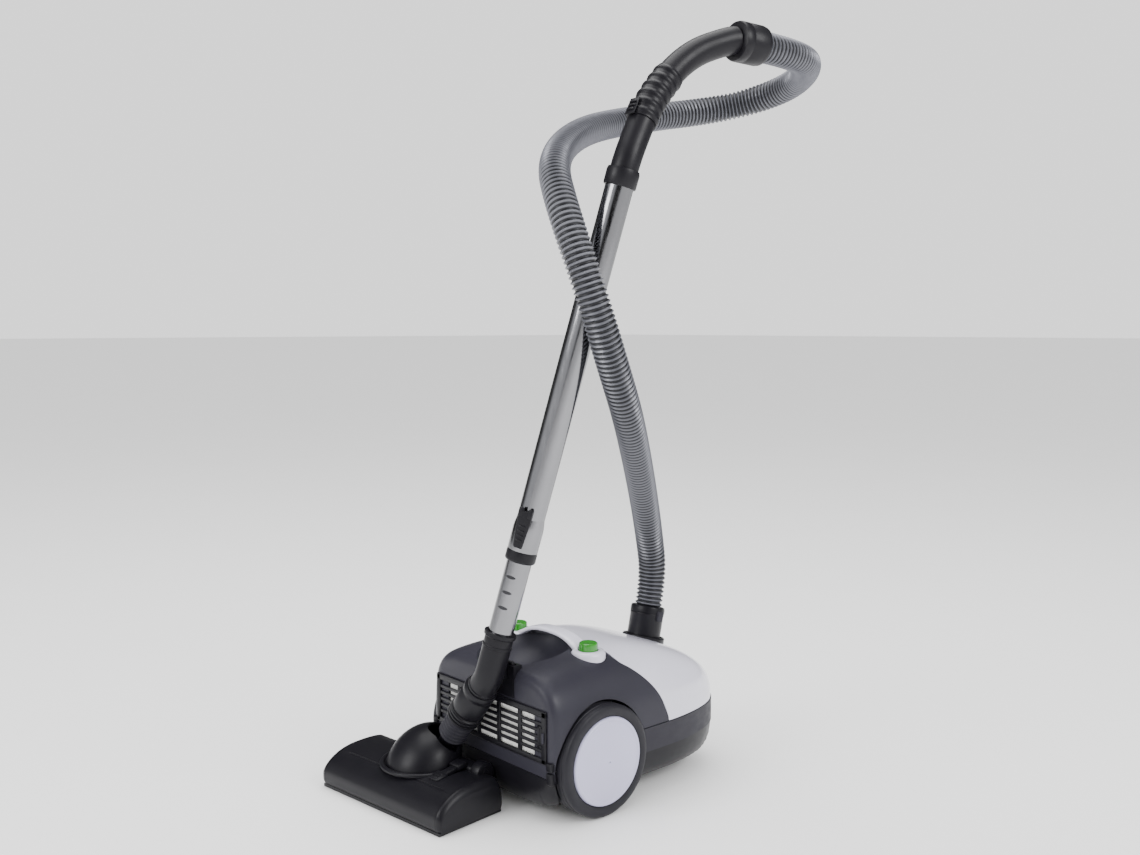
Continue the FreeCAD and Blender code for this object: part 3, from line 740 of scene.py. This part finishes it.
class VACUUM_OT_grille(bpy.types.Operator):
    """Exhaust grille: a rounded frame with columns of louvres in front of the filter"""

    bl_idname = "vacuum.grille"
    bl_label = "Exhaust grille"

    def execute(self, context):
        bm = bmesh.new()
        face, back = REAR - 2.95, REAR - 0.35
        block(bm, (face, -114, 138.5), (back, 114, 147), 1.2)
        block(bm, (face, -114, 80), (back, 114, 87), 1.2)
        for low, high in ((-114, -105.5), (105.5, 114)):
            block(bm, (face, low, 80.4), (back, high, 146.6), 1.2)
        columns, rows = 5, sizes().louvres
        pitch = 42.2
        for column in range(1, columns):
            middle = (column - columns / 2) * pitch
            block(bm, (face + 0.3, middle - 3.4, 86), (back, middle + 3.4, 139), 0.8)
        gap = 51.5 / rows
        for row in range(1, rows):
            height = 87 + row * gap
            block(bm, (face + 0.5, -106, height - 2.3), (back, 106, height + 2.3), 0.9)
        for low, high in (((-103, 100), (-99.5, 128)), ((-107, 100), (-99, 103)), ((-107, 125), (-99, 128))):
            block(bm, (face - 0.9, *low), (back, *high), 0.6)
        block(bm, (face - 0.2, -106, 103), (face + 0.6, -100, 125), 0.3)
        skin_for("exhaust_grille", bm, "black", "canister")
        bm = bmesh.new()
        pleats = 44
        rings = []
        for i in range(pleats * 2 + 1):
            y = -88 + 176 * i / (pleats * 2)
            x = REAR + (0.6 if i % 2 else 3.0)
            rings.append([mm(x, y, 86), mm(x, y, 142), mm(REAR + 11.5, y, 142), mm(REAR + 11.5, y, 86)])
        skin_rings(bm, rings)
        fleece = soft("Filter fleece", (0.78, 0.78, 0.76), 300)
        finish_piece("filter_pleats", bm, fleece, "canister", ["exhaust_filter"], 20)
        catch = block(bmesh.new(), (REAR - 5.8, -111.4, 107.4), (REAR - 1.2, -109.0, 120.6), 0.6)
        skin_for("grille_latch", catch, "housing", "filter_latch")
        return {"FINISHED"}


# ---- wheels


class VACUUM_OT_wheels(bpy.types.Operator):
    """Rear wheels with dished discs and the front caster"""

    bl_idname = "vacuum.wheels"
    bl_label = "Wheels"

    def execute(self, context):
        for side, sign in (("left", 1), ("right", -1)):
            self.rear_wheel(side, sign)
        self.caster()
        return {"FINISHED"}

    def rear_wheel(self, side, sign):
        out = sign * LEFT
        hub = mm(0, sign * 104, HUB_HEIGHT)
        body = "wheel_" + side
        tyre = [(57.2, 0), (69, 0), (71, 1.2), (71.9, 3.4), (72, 8)]
        for groove in range(3):
            start = 9.5 + groove * 8
            tyre += [(72, start), (71.2, start + 0.7), (71.2, start + 1.6), (72, start + 2.3)]
        tyre += [(72, 31), (71.6, 33.4), (70, 35.2), (66.8, 36), (60, 36), (57.6, 35), (57.2, 33)]
        turned_skin("tyre_" + side, tyre, hub, out, 128, "tyre", body)
        disc = [
            (5.06, 0), (56, 0), (56.9, 1), (56.9, 34.2), (56.4, 36.4), (55.2, 37.6), (53.6, 38.0), (52.4, 37.7),
            (51.4, 37.0), (50, 36.9), (44, 37.9), (34, 38.9), (22, 39.5), (10, 39.8), (1, 39.9), (0.5, 36),
            (5.06, 35),
        ]
        turned_skin("wheel_disc_" + side, disc, hub, out, 128, "disc", body)

    def caster(self):
        tread = [
            (3.1, 0), (10, 0), (11, 1.2), (16.2, 1.2), (17.6, 2.2), (18, 4), (18, 12), (17.6, 13.8),
            (16.2, 14.8), (11, 14.8), (10, 16), (3.1, 16),
        ]
        turned_skin("caster_wheel", tread, mm(196, -8, 18), LEFT, 64, "tyre", "caster_roller")


# ---- hose


class VACUUM_OT_hose(bpy.types.Operator):
    """Ribbed suction hose in three stretches along one smooth line"""

    bl_idname = "vacuum.hose"
    bl_label = "Suction hose"

    def execute(self, context):
        line = spline_points(HOSE)
        first = (HOSE[SPLITS[0]] + HOSE[SPLITS[0] + 1]) / 2
        second = (HOSE[SPLITS[1]] + HOSE[SPLITS[1] + 1]) / 2
        cuts = [0, nearest(line, first), nearest(line, second), len(line) - 1]
        names = [
            ("hose_foot", "lid", "canister"), ("hose_middle", "canister", "neck"),
            ("hose_upper", "neck", "grip"),
        ]
        for (name, before, after), low, high in zip(names, cuts, cuts[1:]):
            stretch = line[low : high + 1]
            piece = self.ribbed(name, stretch)
            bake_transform(piece)
        return {"FINISHED"}

    def ribbed(self, node, stretch):
        wave = (0.0, 0.12, 0.7, 1.0, 0.7, 0.12)
        total, depth = path_length(stretch), sizes().hose_depth
        ribs = round(total / sizes().hose_rib)
        points = even_steps(stretch, total / (ribs * len(wave)))
        radii = [HOSE_RADIUS - depth * (1 - wave[i % len(wave)]) for i in range(len(points))]
        bm = skin_rings(bmesh.new(), tube_rings(points, radii, 36))
        piece = skin_for(node, bm, ribbed_plastic("Hose plastic"), None, 60)
        tree = KDTree(len(points))
        for index, point in enumerate(points):
            tree.insert(point, index)
        tree.balance()
        # rib_height (1 on a crest, 0 in a valley) drives the hose's painted valley shade and painted crest
        # highlight
        heights = piece.data.attributes.new("rib_height", "FLOAT", "POINT")
        for vertex in piece.data.vertices:
            reach = tree.find(vertex.co)[2]
            heights.data[vertex.index].value = 1 - (HOSE_RADIUS - reach) / depth
        return piece


def nearest(line, point):
    return min(range(len(line)), key=lambda i: (line[i] - point).length)


# ---- wand


class VACUUM_OT_wand(bpy.types.Operator):
    """Neck, tubes' fittings, handle with its ribbed sleeve, and the hose collar"""

    bl_idname = "vacuum.wand"
    bl_label = "Wand and handle"

    def execute(self, context):
        self.neck()
        self.collars()
        self.tube_fittings()
        self.handle()
        return {"FINISHED"}

    def neck(self):
        bottom = LEG_LENGTH - 22
        line = spline_points([on_wand(60), on_wand(26), BEND, on_leg(LEG_LENGTH - 12), on_leg(bottom)])
        line = even_steps(line, 0.003)
        outside = tube_rings(line, [0.0185] * len(line), 56)
        inside = tube_rings(line, [0.0163] * len(line), 56)
        bm = skin_rings(bmesh.new(), outside + inside[::-1], True)
        rim = [(18.2, 53), (20.7, 55), (20.7, 59.4), (19.8, 60), (16.4, 60), (16.4, 53)]
        turned(bm, rim, BEND, WAND_AXIS, 56, True)
        rib = [(18.2, 40), (19.4, 41), (19.4, 43), (18.2, 44)]
        turned(bm, rib, BEND, WAND_AXIS, 56, True)
        collar = [(18.2, bottom), (19.6, bottom + 0.4), (19.6, bottom + 3), (18.2, bottom + 4)]
        turned(bm, collar, PIVOT, LEG_AXIS, 56, True)
        block(bm, (-90, -36.8, 172.6), (-76.5, -29.2, 193.8), 1.5)
        block(bm, (-76.6, -42.8, 172.6), (-71.2, -23.2, 193.8), 1.5)
        spigot = [(14, bottom - 18), (16.5, bottom - 18), (16.5, bottom + 1), (14, bottom + 1)]
        turned(bm, spigot, PIVOT, LEG_AXIS, 48, True)
        skin_for("neck_elbow", bm, "black", "neck")

    def collars(self):
        top = LEG_LENGTH - 22.3
        skin = [
            (16.6, 100), (20.6, 100), (21.8, 101.4), (22, 104), (22, top - 14), (21.2, top - 12.6),
            (21.2, top - 10), (22, top - 8.6), (22, top - 2.4), (20.8, top - 0.4), (16.6, top),
        ]
        rings, folds = [(15.1, 84.4)], [(15.6, 46.2)]
        for n in range(3):
            start = 84.4 + 5.2 * n
            ring = ((21.4, 0), (23.0, 0.5), (23.4, 1.6), (23.0, 3.0), (21.4, 3.6), (20.9, 4.6))
            rings += [(radius, start + height) for radius, height in ring]
        for n in range(6):
            start = 46.2 + 6.2 * n
            folds += [(17.6, start), (19.6, start + 2.0), (19.6, start + 3.2), (17.6, start + 5.2)]
        rings, folds = rings + [(15.1, 99.9)], folds + [(15.6, 83.8)]
        for node, profile in (("swivel_collar", skin), ("neck_rings", rings)):
            turned_skin(node, profile, PIVOT, LEG_AXIS, 72, "black", "swivel")
        bellows = turned_skin("neck_bellows", folds, PIVOT, LEG_AXIS, 64, "bumper", None)
        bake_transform(bellows)

    def tube_fittings(self):
        start = BUSH_AT - 14
        bush = [(16.3, 0), (18.4, 0), (19.5, 1.4), (19.6, 3), (19.6, 11), (19.2, 13.8), (16.3, 14)]
        bush = [(radius, start + height) for radius, height in bush]
        turned_skin("tube_bush", bush, BEND, WAND_AXIS, 64, "black", "grip")
        swage = [(17.55, 168.2), (19.2, 168.2), (19.4, 170), (19.4, 196), (18.8, 202), (17.56, 210)]
        bm = turned(bmesh.new(), swage, BEND, WAND_AXIS, 64, True)
        finish_piece("tube_swage", bm, tube_material(), "grip")
        facing = Vector((-0.9, -0.43, 0))
        turn = axes_along(WAND_AXIS, facing).to_4x4()
        face = Matrix.Translation(on_wand(BUSH_AT)) @ turn
        seat = 18.4
        lever = (
            # height, half width, proud of the tube
            (5, 5.4, 20.6), (7, 6.2, 22.4), (20, 7.4, 22.8), (38, 9.0, 23.2), (48, 9.8, 23.8), (52, 8.6, 23.4),
        )
        rings = []
        for height, wide, proud in lever:
            ring = []
            for a in around(40):
                x = (proud + seat) / 2 + (proud - seat) / 2 * squared(math.cos(a), 0.6)
                ring.append(face @ (Vector((x, wide * squared(math.sin(a), 0.6), height)) / 1000))
            rings.append(ring)
        bm = skin_rings(bmesh.new(), rings)
        for sign in (-1, 1):
            block(bm, (18.6, sign * 6.4 - 3.2, 44), (24.2, sign * 6.4 + 3.2, 56), 1.6, face)
        for n in range(4):
            block(bm, (22.0, -4.6, 14 + 6 * n), (24.0, 4.6, 16 + 6 * n), 0.6, face, 2)
        skin_for("tube_slider", bm, "black", "slider")
        bm = bmesh.new()
        for n in range(3):
            made = bmesh.ops.create_uvsphere(bm, u_segments=24, v_segments=16, radius=1)["verts"]
            for vertex in made:
                depth, across, height = vertex.co
                reach, angle = 0.01597 + 0.00008 * depth, 0.42 * across
                vertex.co = (reach * math.cos(angle), reach * math.sin(angle), 0.0022 * height)
            bmesh.ops.transform(bm, matrix=Matrix.Translation(on_wand(94 + 20 * n)) @ turn, verts=made)
        # the notch patches are painted shade: a near-black skin laid flush on the tube where the real notches
        # are shaded holes
        notch_shade = steel("Notch steel", (0.05, 0.05, 0.054), 0.35, (1.0, 1.0, 1.0))
        finish_piece("tube_notches", bm, notch_shade, "neck")

    def handle(self):
        route = [on_wand(TUBE_TOP + 0.5), on_wand(TUBE_TOP + 30), *HANDLE[1:-1], on_hand(46)]
        full = even_steps(spline_points(route), 0.004)
        bm = skin_rings(bmesh.new(), tube_rings(full, [0.0175] * len(full), 48))
        cuff = [(17.0, -0.2), (19.6, 0), (20.4, 1.6), (20.5, 18), (19.4, 21.6), (17.2, 22)]
        turned(bm, [(radius, TUBE_TOP + height) for radius, height in cuff], BEND, WAND_AXIS, 56, True)
        skin_for("handle_grip", bm, "grip", "grip", name="handle")
        low = next(i for i, p in enumerate(full) if p.z > 0.864)
        high = next(i for i, p in enumerate(full) if p.z > 0.928)
        stretch = even_steps(full[low : high + 1], 0.0012)
        ribs = 6
        radii = []
        for i in range(len(stretch)):
            u = i / (len(stretch) - 1)
            wave = max(0.0, math.sin(TAU * ribs * u - math.pi / 2)) ** 0.5
            radii.append(0.0189 + 0.0013 * wave)
        outside = tube_rings(stretch, radii, 56)
        inside = tube_rings(stretch, [0.0176] * len(stretch), 56)
        sleeve = skin_rings(bmesh.new(), outside + inside[::-1], True)
        skin_for("grip_sleeve", sleeve, "grip", "grip")
        end = [
            (15.6, 0), (20.2, 0), (24.4, 1.6), (25.4, 4.5), (25.5, 12), (24.8, 13.2), (24.8, 15.4),
            (25.5, 16.6), (25.5, 38), (24.6, 42.4), (21.8, 45.2), (15.6, 45.6),
        ]
        start = on_hand(45.7)
        turned_skin("hose_collar", end, start, HAND_AXIS, 80, "grip", "hose_end")
        run = (HANDLE[2] - HANDLE[1]).normalized()
        seat = HANDLE[1] + (HANDLE[2] - HANDLE[1]) * 0.3
        face = Matrix.Translation(seat) @ axes_along(run, Vector((-run.z, 0, run.x))).to_4x4()
        bm = block(bmesh.new(), (20.6, -7.6, 0.2), (22.6, 7.6, 23.8), 0.9, face)
        for n in range(3):
            block(bm, (22.0, -5.5, 5 + 5.6 * n), (24.4, 5.5, 7.6 + 5.6 * n), 0.7, face, 2)
        skin_for("suction_slider", bm, "black", "regulator")


# ---- floor nozzle


NOZZLE = Matrix.Translation(mm(-206.5, 71.5, 0)) @ Matrix.Rotation(math.radians(5.45), 4, "Z")
NOZZLE_TURN = NOZZLE.to_3x3()
PIN = (NOZZLE.inverted() @ PIVOT) * 1000


def in_nozzle(x, y, z):
    """Point given in millimetres in the nozzle's own frame."""
    return NOZZLE @ (Vector((x, y, z)) / 1000)


def nozzle_section(y, shrink):
    """Nozzle's outline from front to back at one place along it."""
    outline = [
        (2.5, 4.3), (0.6, 8), (0, 14), (0, 21), (2.4, 27), (8.5, 34), (20, 41.5), (34, 46.6), (50, 49.2),
        (74, 49.8), (90, 48.6), (99, 46), (104.5, 38), (108, 22), (108, 12), (105.5, 4.3),
    ]
    points = []
    for x, z in smooth_row(outline, 3):
        x = 54 + (x - 54) * (1 - shrink * 0.03)
        z = 4.3 + (z - 4.3) * (1 - shrink * 0.1)
        points.append(in_nozzle(x, y, z))
    return points


class VACUUM_OT_nozzle(bpy.types.Operator):
    """Floor nozzle: cover, end caps, dome, rocker pedal, yoke and brushes"""

    bl_idname = "vacuum.nozzle"
    bl_label = "Floor nozzle"

    def execute(self, context):
        body = form(skin_rings(bmesh.new(), [nozzle_section(y, 0) for y in (-111.6, -60, 0, 60, 111.6)]))
        for low, high in (
            ((10, -108, -5), (78, 108, 29)), ((PIN.x - 24, PIN.y - 25.5, 8), (PIN.x + 40, PIN.y + 25.5, 90)),
            ((38, -74.5, 40), (90, -57.5, 90)), ((20, -96, 44), (30, 96, 90)),
        ):
            boolean(body, form(block(bmesh.new(), low, high, 1.2, NOZZLE)))
        finish_mesh(body, "nozzle_body", "black", "nozzle", 34, "nozzle_cover")
        bm = bmesh.new()
        ears = [(4.1, 0), (11, 0), (12.6, 0.8), (13, 2), (13, 5), (12.4, 6), (4.1, 6)]
        for sign in (-1, 1):
            start = in_nozzle(PIN.x, PIN.y + sign * 27, PIN.z)
            turned(bm, ears, start, NOZZLE_TURN @ (sign * LEFT), 48, True)
            low = PIN.y + sign * 30 - 3
            block(bm, (PIN.x - 12, low, 30), (PIN.x + 8, low + 6, 46), 1.2, NOZZLE)
        finish_piece("nozzle_ears", bm, "black", "nozzle")
        for side, sign in (("right", -1), ("left", 1)):
            spots = [(112, 0), (113.6, 0), (116, 0.3), (119, 1.1), (120.6, 1.9), (121, 2.3)]
            cap = skin_rings(bmesh.new(), [nozzle_section(sign * y, shrink) for y, shrink in spots])
            skin_for("nozzle_cap_" + side, cap, "black", "nozzle")
        self.dome()
        self.pedal()
        self.yoke()
        return {"FINISHED"}

    def hood_form(self, shrink):
        """Leaning egg with a flat rear, drawn in by shrink millimetres."""
        bm = bmesh.new()
        made = bmesh.ops.create_uvsphere(bm, u_segments=96, v_segments=56, radius=1)["verts"]
        bmesh.ops.scale(bm, vec=[(r - shrink) / 1000 for r in (51, 50, 51)], verts=made)
        for vertex in made:
            vertex.co.x += 0.24 * max(0.0, vertex.co.z)
        bmesh.ops.translate(bm, vec=Vector((PIN.x - 24, PIN.y + 3, 43)) / 1000, verts=made)
        bmesh.ops.transform(bm, matrix=NOZZLE, verts=made)
        behind = block(bmesh.new(), (PIN.x + 16 - shrink, -200, -30), (200, 200, 200), 0.1, NOZZLE)
        return boolean(form(bm), form(behind))

    def dome(self):
        hood = boolean(self.hood_form(0), self.hood_form(2.6))
        boolean(hood, form(block(bmesh.new(), (-60, -200, -40), (200, 200, 42), 0.1, NOZZLE)))
        boolean(hood, rod_tool(on_leg(34), LEG_AXIS, 23, 120, 80))
        upright = NOZZLE_TURN @ Vector((-0.16, 0.16, 1))
        boolean(hood, rod_tool(on_leg(30), upright, 21, 120, 80))
        finish_mesh(hood, "nozzle_dome", "black", "nozzle", 40)
        rings = []
        last = 71
        for i in range(last + 1):
            a = math.pi * (0.36 + 1.28 * i / last)
            spot = Vector((PIN.x - 24 + 55 * math.cos(a), PIN.y + 3 + 54 * math.sin(a), 47.2))
            out = Vector((math.cos(a), math.sin(a), 0)) * 3.6
            rise = UP * (0.4 + 2.8 * min(1.0, i / 6, (last - i) / 6))
            rings.append([in_nozzle(*(spot + out * math.cos(b) + rise * math.sin(b))) for b in around(16)])
        finish_piece("hood_rim", skin_rings(bmesh.new(), rings), "black", "nozzle")
        roller = [
            (0, 0), (12, 0), (14.6, 1), (15.2, 3), (15.2, 13), (14.4, 15), (11, 15.6), (10, 14.4), (6, 14.4),
            (5, 16.2), (0, 16.4),
        ]
        bm = turned(bmesh.new(), roller, in_nozzle(PIN.x + 1, -83, 46), NOZZLE_TURN @ -LEFT, 64)
        block(bm, (PIN.x - 12, -85, 36), (PIN.x + 10, -36, 55), 5, NOZZLE)
        finish_piece("hood_shoulder", bm, "black", "nozzle")

    def pedal(self):
        tilt = NOZZLE @ Matrix.Translation((0.064, 0, 0.0455)) @ Matrix.Rotation(math.radians(-9), 4, "Y")
        bm = block(bmesh.new(), (-22, -71.5, 2.5), (24, -60.5, 8.5), 1.6, tilt)
        block(bm, (-27, -75, 1.0), (-8, -57, 9.5), 2.2, tilt)
        block(bm, (9, -75, 3.5), (25, -57, 11.5), 2.2, tilt)
        for n in range(3):
            block(bm, (-25 + 4.6 * n, -72, 9.0), (-23 + 4.6 * n, -60, 10.3), 0.5, tilt, 2)
        skin_for("nozzle_pedal", bm, "black", "pedal")
        for node in ("brush_front", "brush_rear"):
            assign(node, soft("Bristle black", (0.02, 0.02, 0.02), 500))

    def yoke(self):
        hub = [(4.1, -26.2), (15, -26.2), (16.8, -25), (17, -23), (17, 23), (16.8, 25), (15, 26.2), (4.1, 26.2)]
        bm = turned(bmesh.new(), hub, PIVOT, NOZZLE_TURN @ LEFT, 64, True)
        stub = [(9.2, 12), (12, 12), (12, 46), (14.9, 47.5), (14.9, 99), (9.2, 99)]
        turned(bm, stub, PIVOT, LEG_AXIS, 56, True)
        skin_for("nozzle_yoke", bm, "black", "swivel")


class VACUUM_OT_finishes(bpy.types.Operator):
    """Materials of the design's own parts that keep their shape"""

    bl_idname = "vacuum.finishes"
    bl_label = "Finishes of plain parts"

    def execute(self, context):
        finishes = {
            "upper_tube": tube_material(), "lower_tube": tube_material(),
            "nozzle_sole": plastic("Sole plate", (0.012, 0.012, 0.014), 0.3),
            "motor_body": steel("Motor casing", (0.5, 0.5, 0.5), 0.45, (1, 1, 1)),
            "fan_impeller": steel("Fan casing", (0.6, 0.6, 0.6), 0.4, (1, 1, 1)),
            "dust_bag": soft("Bag fleece", (0.6, 0.56, 0.47), 260), "bag_plate": moulded("grip"),
        }
        finishes |= {node: moulded("black") for node in ("park_bracket", "caster_fork", "cord_reel")}
        for node in ("caster_axle", "wheel_axle_left", "wheel_axle_right", "pivot_pin", "pedal_pin"):
            finishes[node] = axle_material()
        for node, material in finishes.items():
            assign(node, material)
        return {"FINISHED"}


# ---- stage


class VACUUM_OT_stage(bpy.types.Operator):
    """Pale floor, soft lights and the camera"""

    bl_idname = "vacuum.stage"
    bl_label = "Stage"

    def execute(self, context):
        nodes = Nodes("Pale floor")
        nodes.tint(nodes.noise(3.0, 3.0), (0.9, 0.9, 0.9), 0.005)
        nodes.shader.inputs["Roughness"].default_value = 0.6
        bm = bmesh.new()
        bmesh.ops.create_grid(bm, x_segments=2, y_segments=2, size=60)
        bmesh.ops.translate(bm, vec=(0, 0, -0.0005), verts=bm.verts)
        floor = finish_piece("stage_floor", bm, nodes.material, None)
        self.sky(context)
        self.lamp("key", (0.7, -2.8, 2.2), (0, 0, 0.4), 1.5, 62)
        self.lamp("side", (-2.9, 0.5, 2.0), (0, 0, 0.4), 1.4, 52)
        self.lamp("top", (0.2, 0.4, 3.0), (0, 0, 0), 2.2, 60)
        camera = bpy.data.cameras.new("camera")
        camera.sensor_width = 36
        camera.lens = 36.59
        holder = bpy.data.objects.new("camera", camera)
        context.scene.collection.objects.link(holder)
        holder.location = mm(-987.5, -1161.3, 619.5)
        yaw, pitch = math.radians(47.9), math.radians(5)
        heading = Vector((math.cos(yaw) * math.cos(pitch), math.sin(yaw) * math.cos(pitch), -math.sin(pitch)))
        holder.rotation_euler = heading.to_track_quat("-Z", "Y").to_euler()
        context.scene.camera = holder
        return {"FINISHED"}

    def sky(self, context):
        """Even pale surround, with darker bands that only reflections see."""
        world = bpy.data.worlds.new("studio")
        context.scene.world = world
        world.use_nodes = True
        tree = world.node_tree
        tree.nodes.clear()
        kinds = (
            "TexCoord", "TexGradient", "ValToRGB", "Background", "Background", "LightPath", "MixShader",
            "OutputWorld",
        )
        made = [tree.nodes.new("ShaderNode" + kind) for kind in kinds]
        place, turn, ramp, bands, plain, ray, mix, output = made
        turn.gradient_type = "RADIAL"
        plain.inputs["Color"].default_value = (1, 1, 1, 1)
        plain.inputs["Strength"].default_value = 1.5
        bands.inputs["Strength"].default_value = 1.0
        stops = (
            (0.0, 1.0), (0.05, 0.95), (0.09, 0.04), (0.165, 0.04), (0.21, 0.95),
            (0.36, 1.0), (0.44, 0.1), (0.82, 0.1), (0.9, 1.0), (1.0, 1.0),
        )
        elements = ramp.color_ramp.elements
        elements.remove(elements[1])
        for index, (where, value) in enumerate(stops):
            stop = elements.new(where) if index else elements[0]
            stop.position = where
            stop.color = (value * 0.97, value * 0.98, value, 1)
        for source, socket, target, end in (
            (place, "Generated", turn, "Vector"), (turn, "Fac", ramp, "Fac"), (ramp, "Color", bands, "Color"),
            (ray, "Is Glossy Ray", mix, "Fac"), (plain, "Background", mix, 1), (bands, "Background", mix, 2),
            (mix, "Shader", output, "Surface"),
        ):
            tree.links.new(source.outputs[socket], target.inputs[end])

    def lamp(self, name, place, target, width, power):
        light = bpy.data.lights.new(name, "AREA")
        light.size = width
        light.energy = power
        holder = bpy.data.objects.new(name, light)
        bpy.context.scene.collection.objects.link(holder)
        holder.location = place
        holder.rotation_euler = (Vector(target) - Vector(place)).to_track_quat("-Z", "Y").to_euler()


class VACUUM_PT_panel(bpy.types.Panel):
    """Buttons for every group of pieces"""

    bl_label = "Vacuum cleaner"
    bl_idname = "VACUUM_PT_panel"
    bl_space_type = "VIEW_3D"
    bl_region_type = "UI"
    bl_category = "Vacuum"

    def draw(self, context):
        for group in (context.scene.vacuum_sizes, context.scene.vacuum_colours):
            for key in group.bl_rna.properties.keys():
                if key not in {"rna_type", "name"}:
                    self.layout.prop(group, key)
        for operator in OPERATORS:
            self.layout.operator(operator.bl_idname)


OPERATORS = [
    VACUUM_OT_stage, VACUUM_OT_hose, VACUUM_OT_shells, VACUUM_OT_fittings, VACUUM_OT_grille,
    VACUUM_OT_wheels, VACUUM_OT_wand, VACUUM_OT_nozzle, VACUUM_OT_finishes,
]
CLASSES = [VacuumSizes, VacuumColours, *OPERATORS, VACUUM_PT_panel]


def register():
    for item in CLASSES:
        bpy.utils.register_class(item)
    bpy.types.Scene.vacuum_sizes = PointerProperty(type=VacuumSizes)
    bpy.types.Scene.vacuum_colours = PointerProperty(type=VacuumColours)


def unregister():
    del bpy.types.Scene.vacuum_colours
    del bpy.types.Scene.vacuum_sizes
    for item in reversed(CLASSES):
        bpy.utils.unregister_class(item)


def main():
    register()
    for operator in OPERATORS:
        group, name = operator.bl_idname.split(".")
        getattr(getattr(bpy.ops, group), name)()


if __name__ == "__main__":
    main()
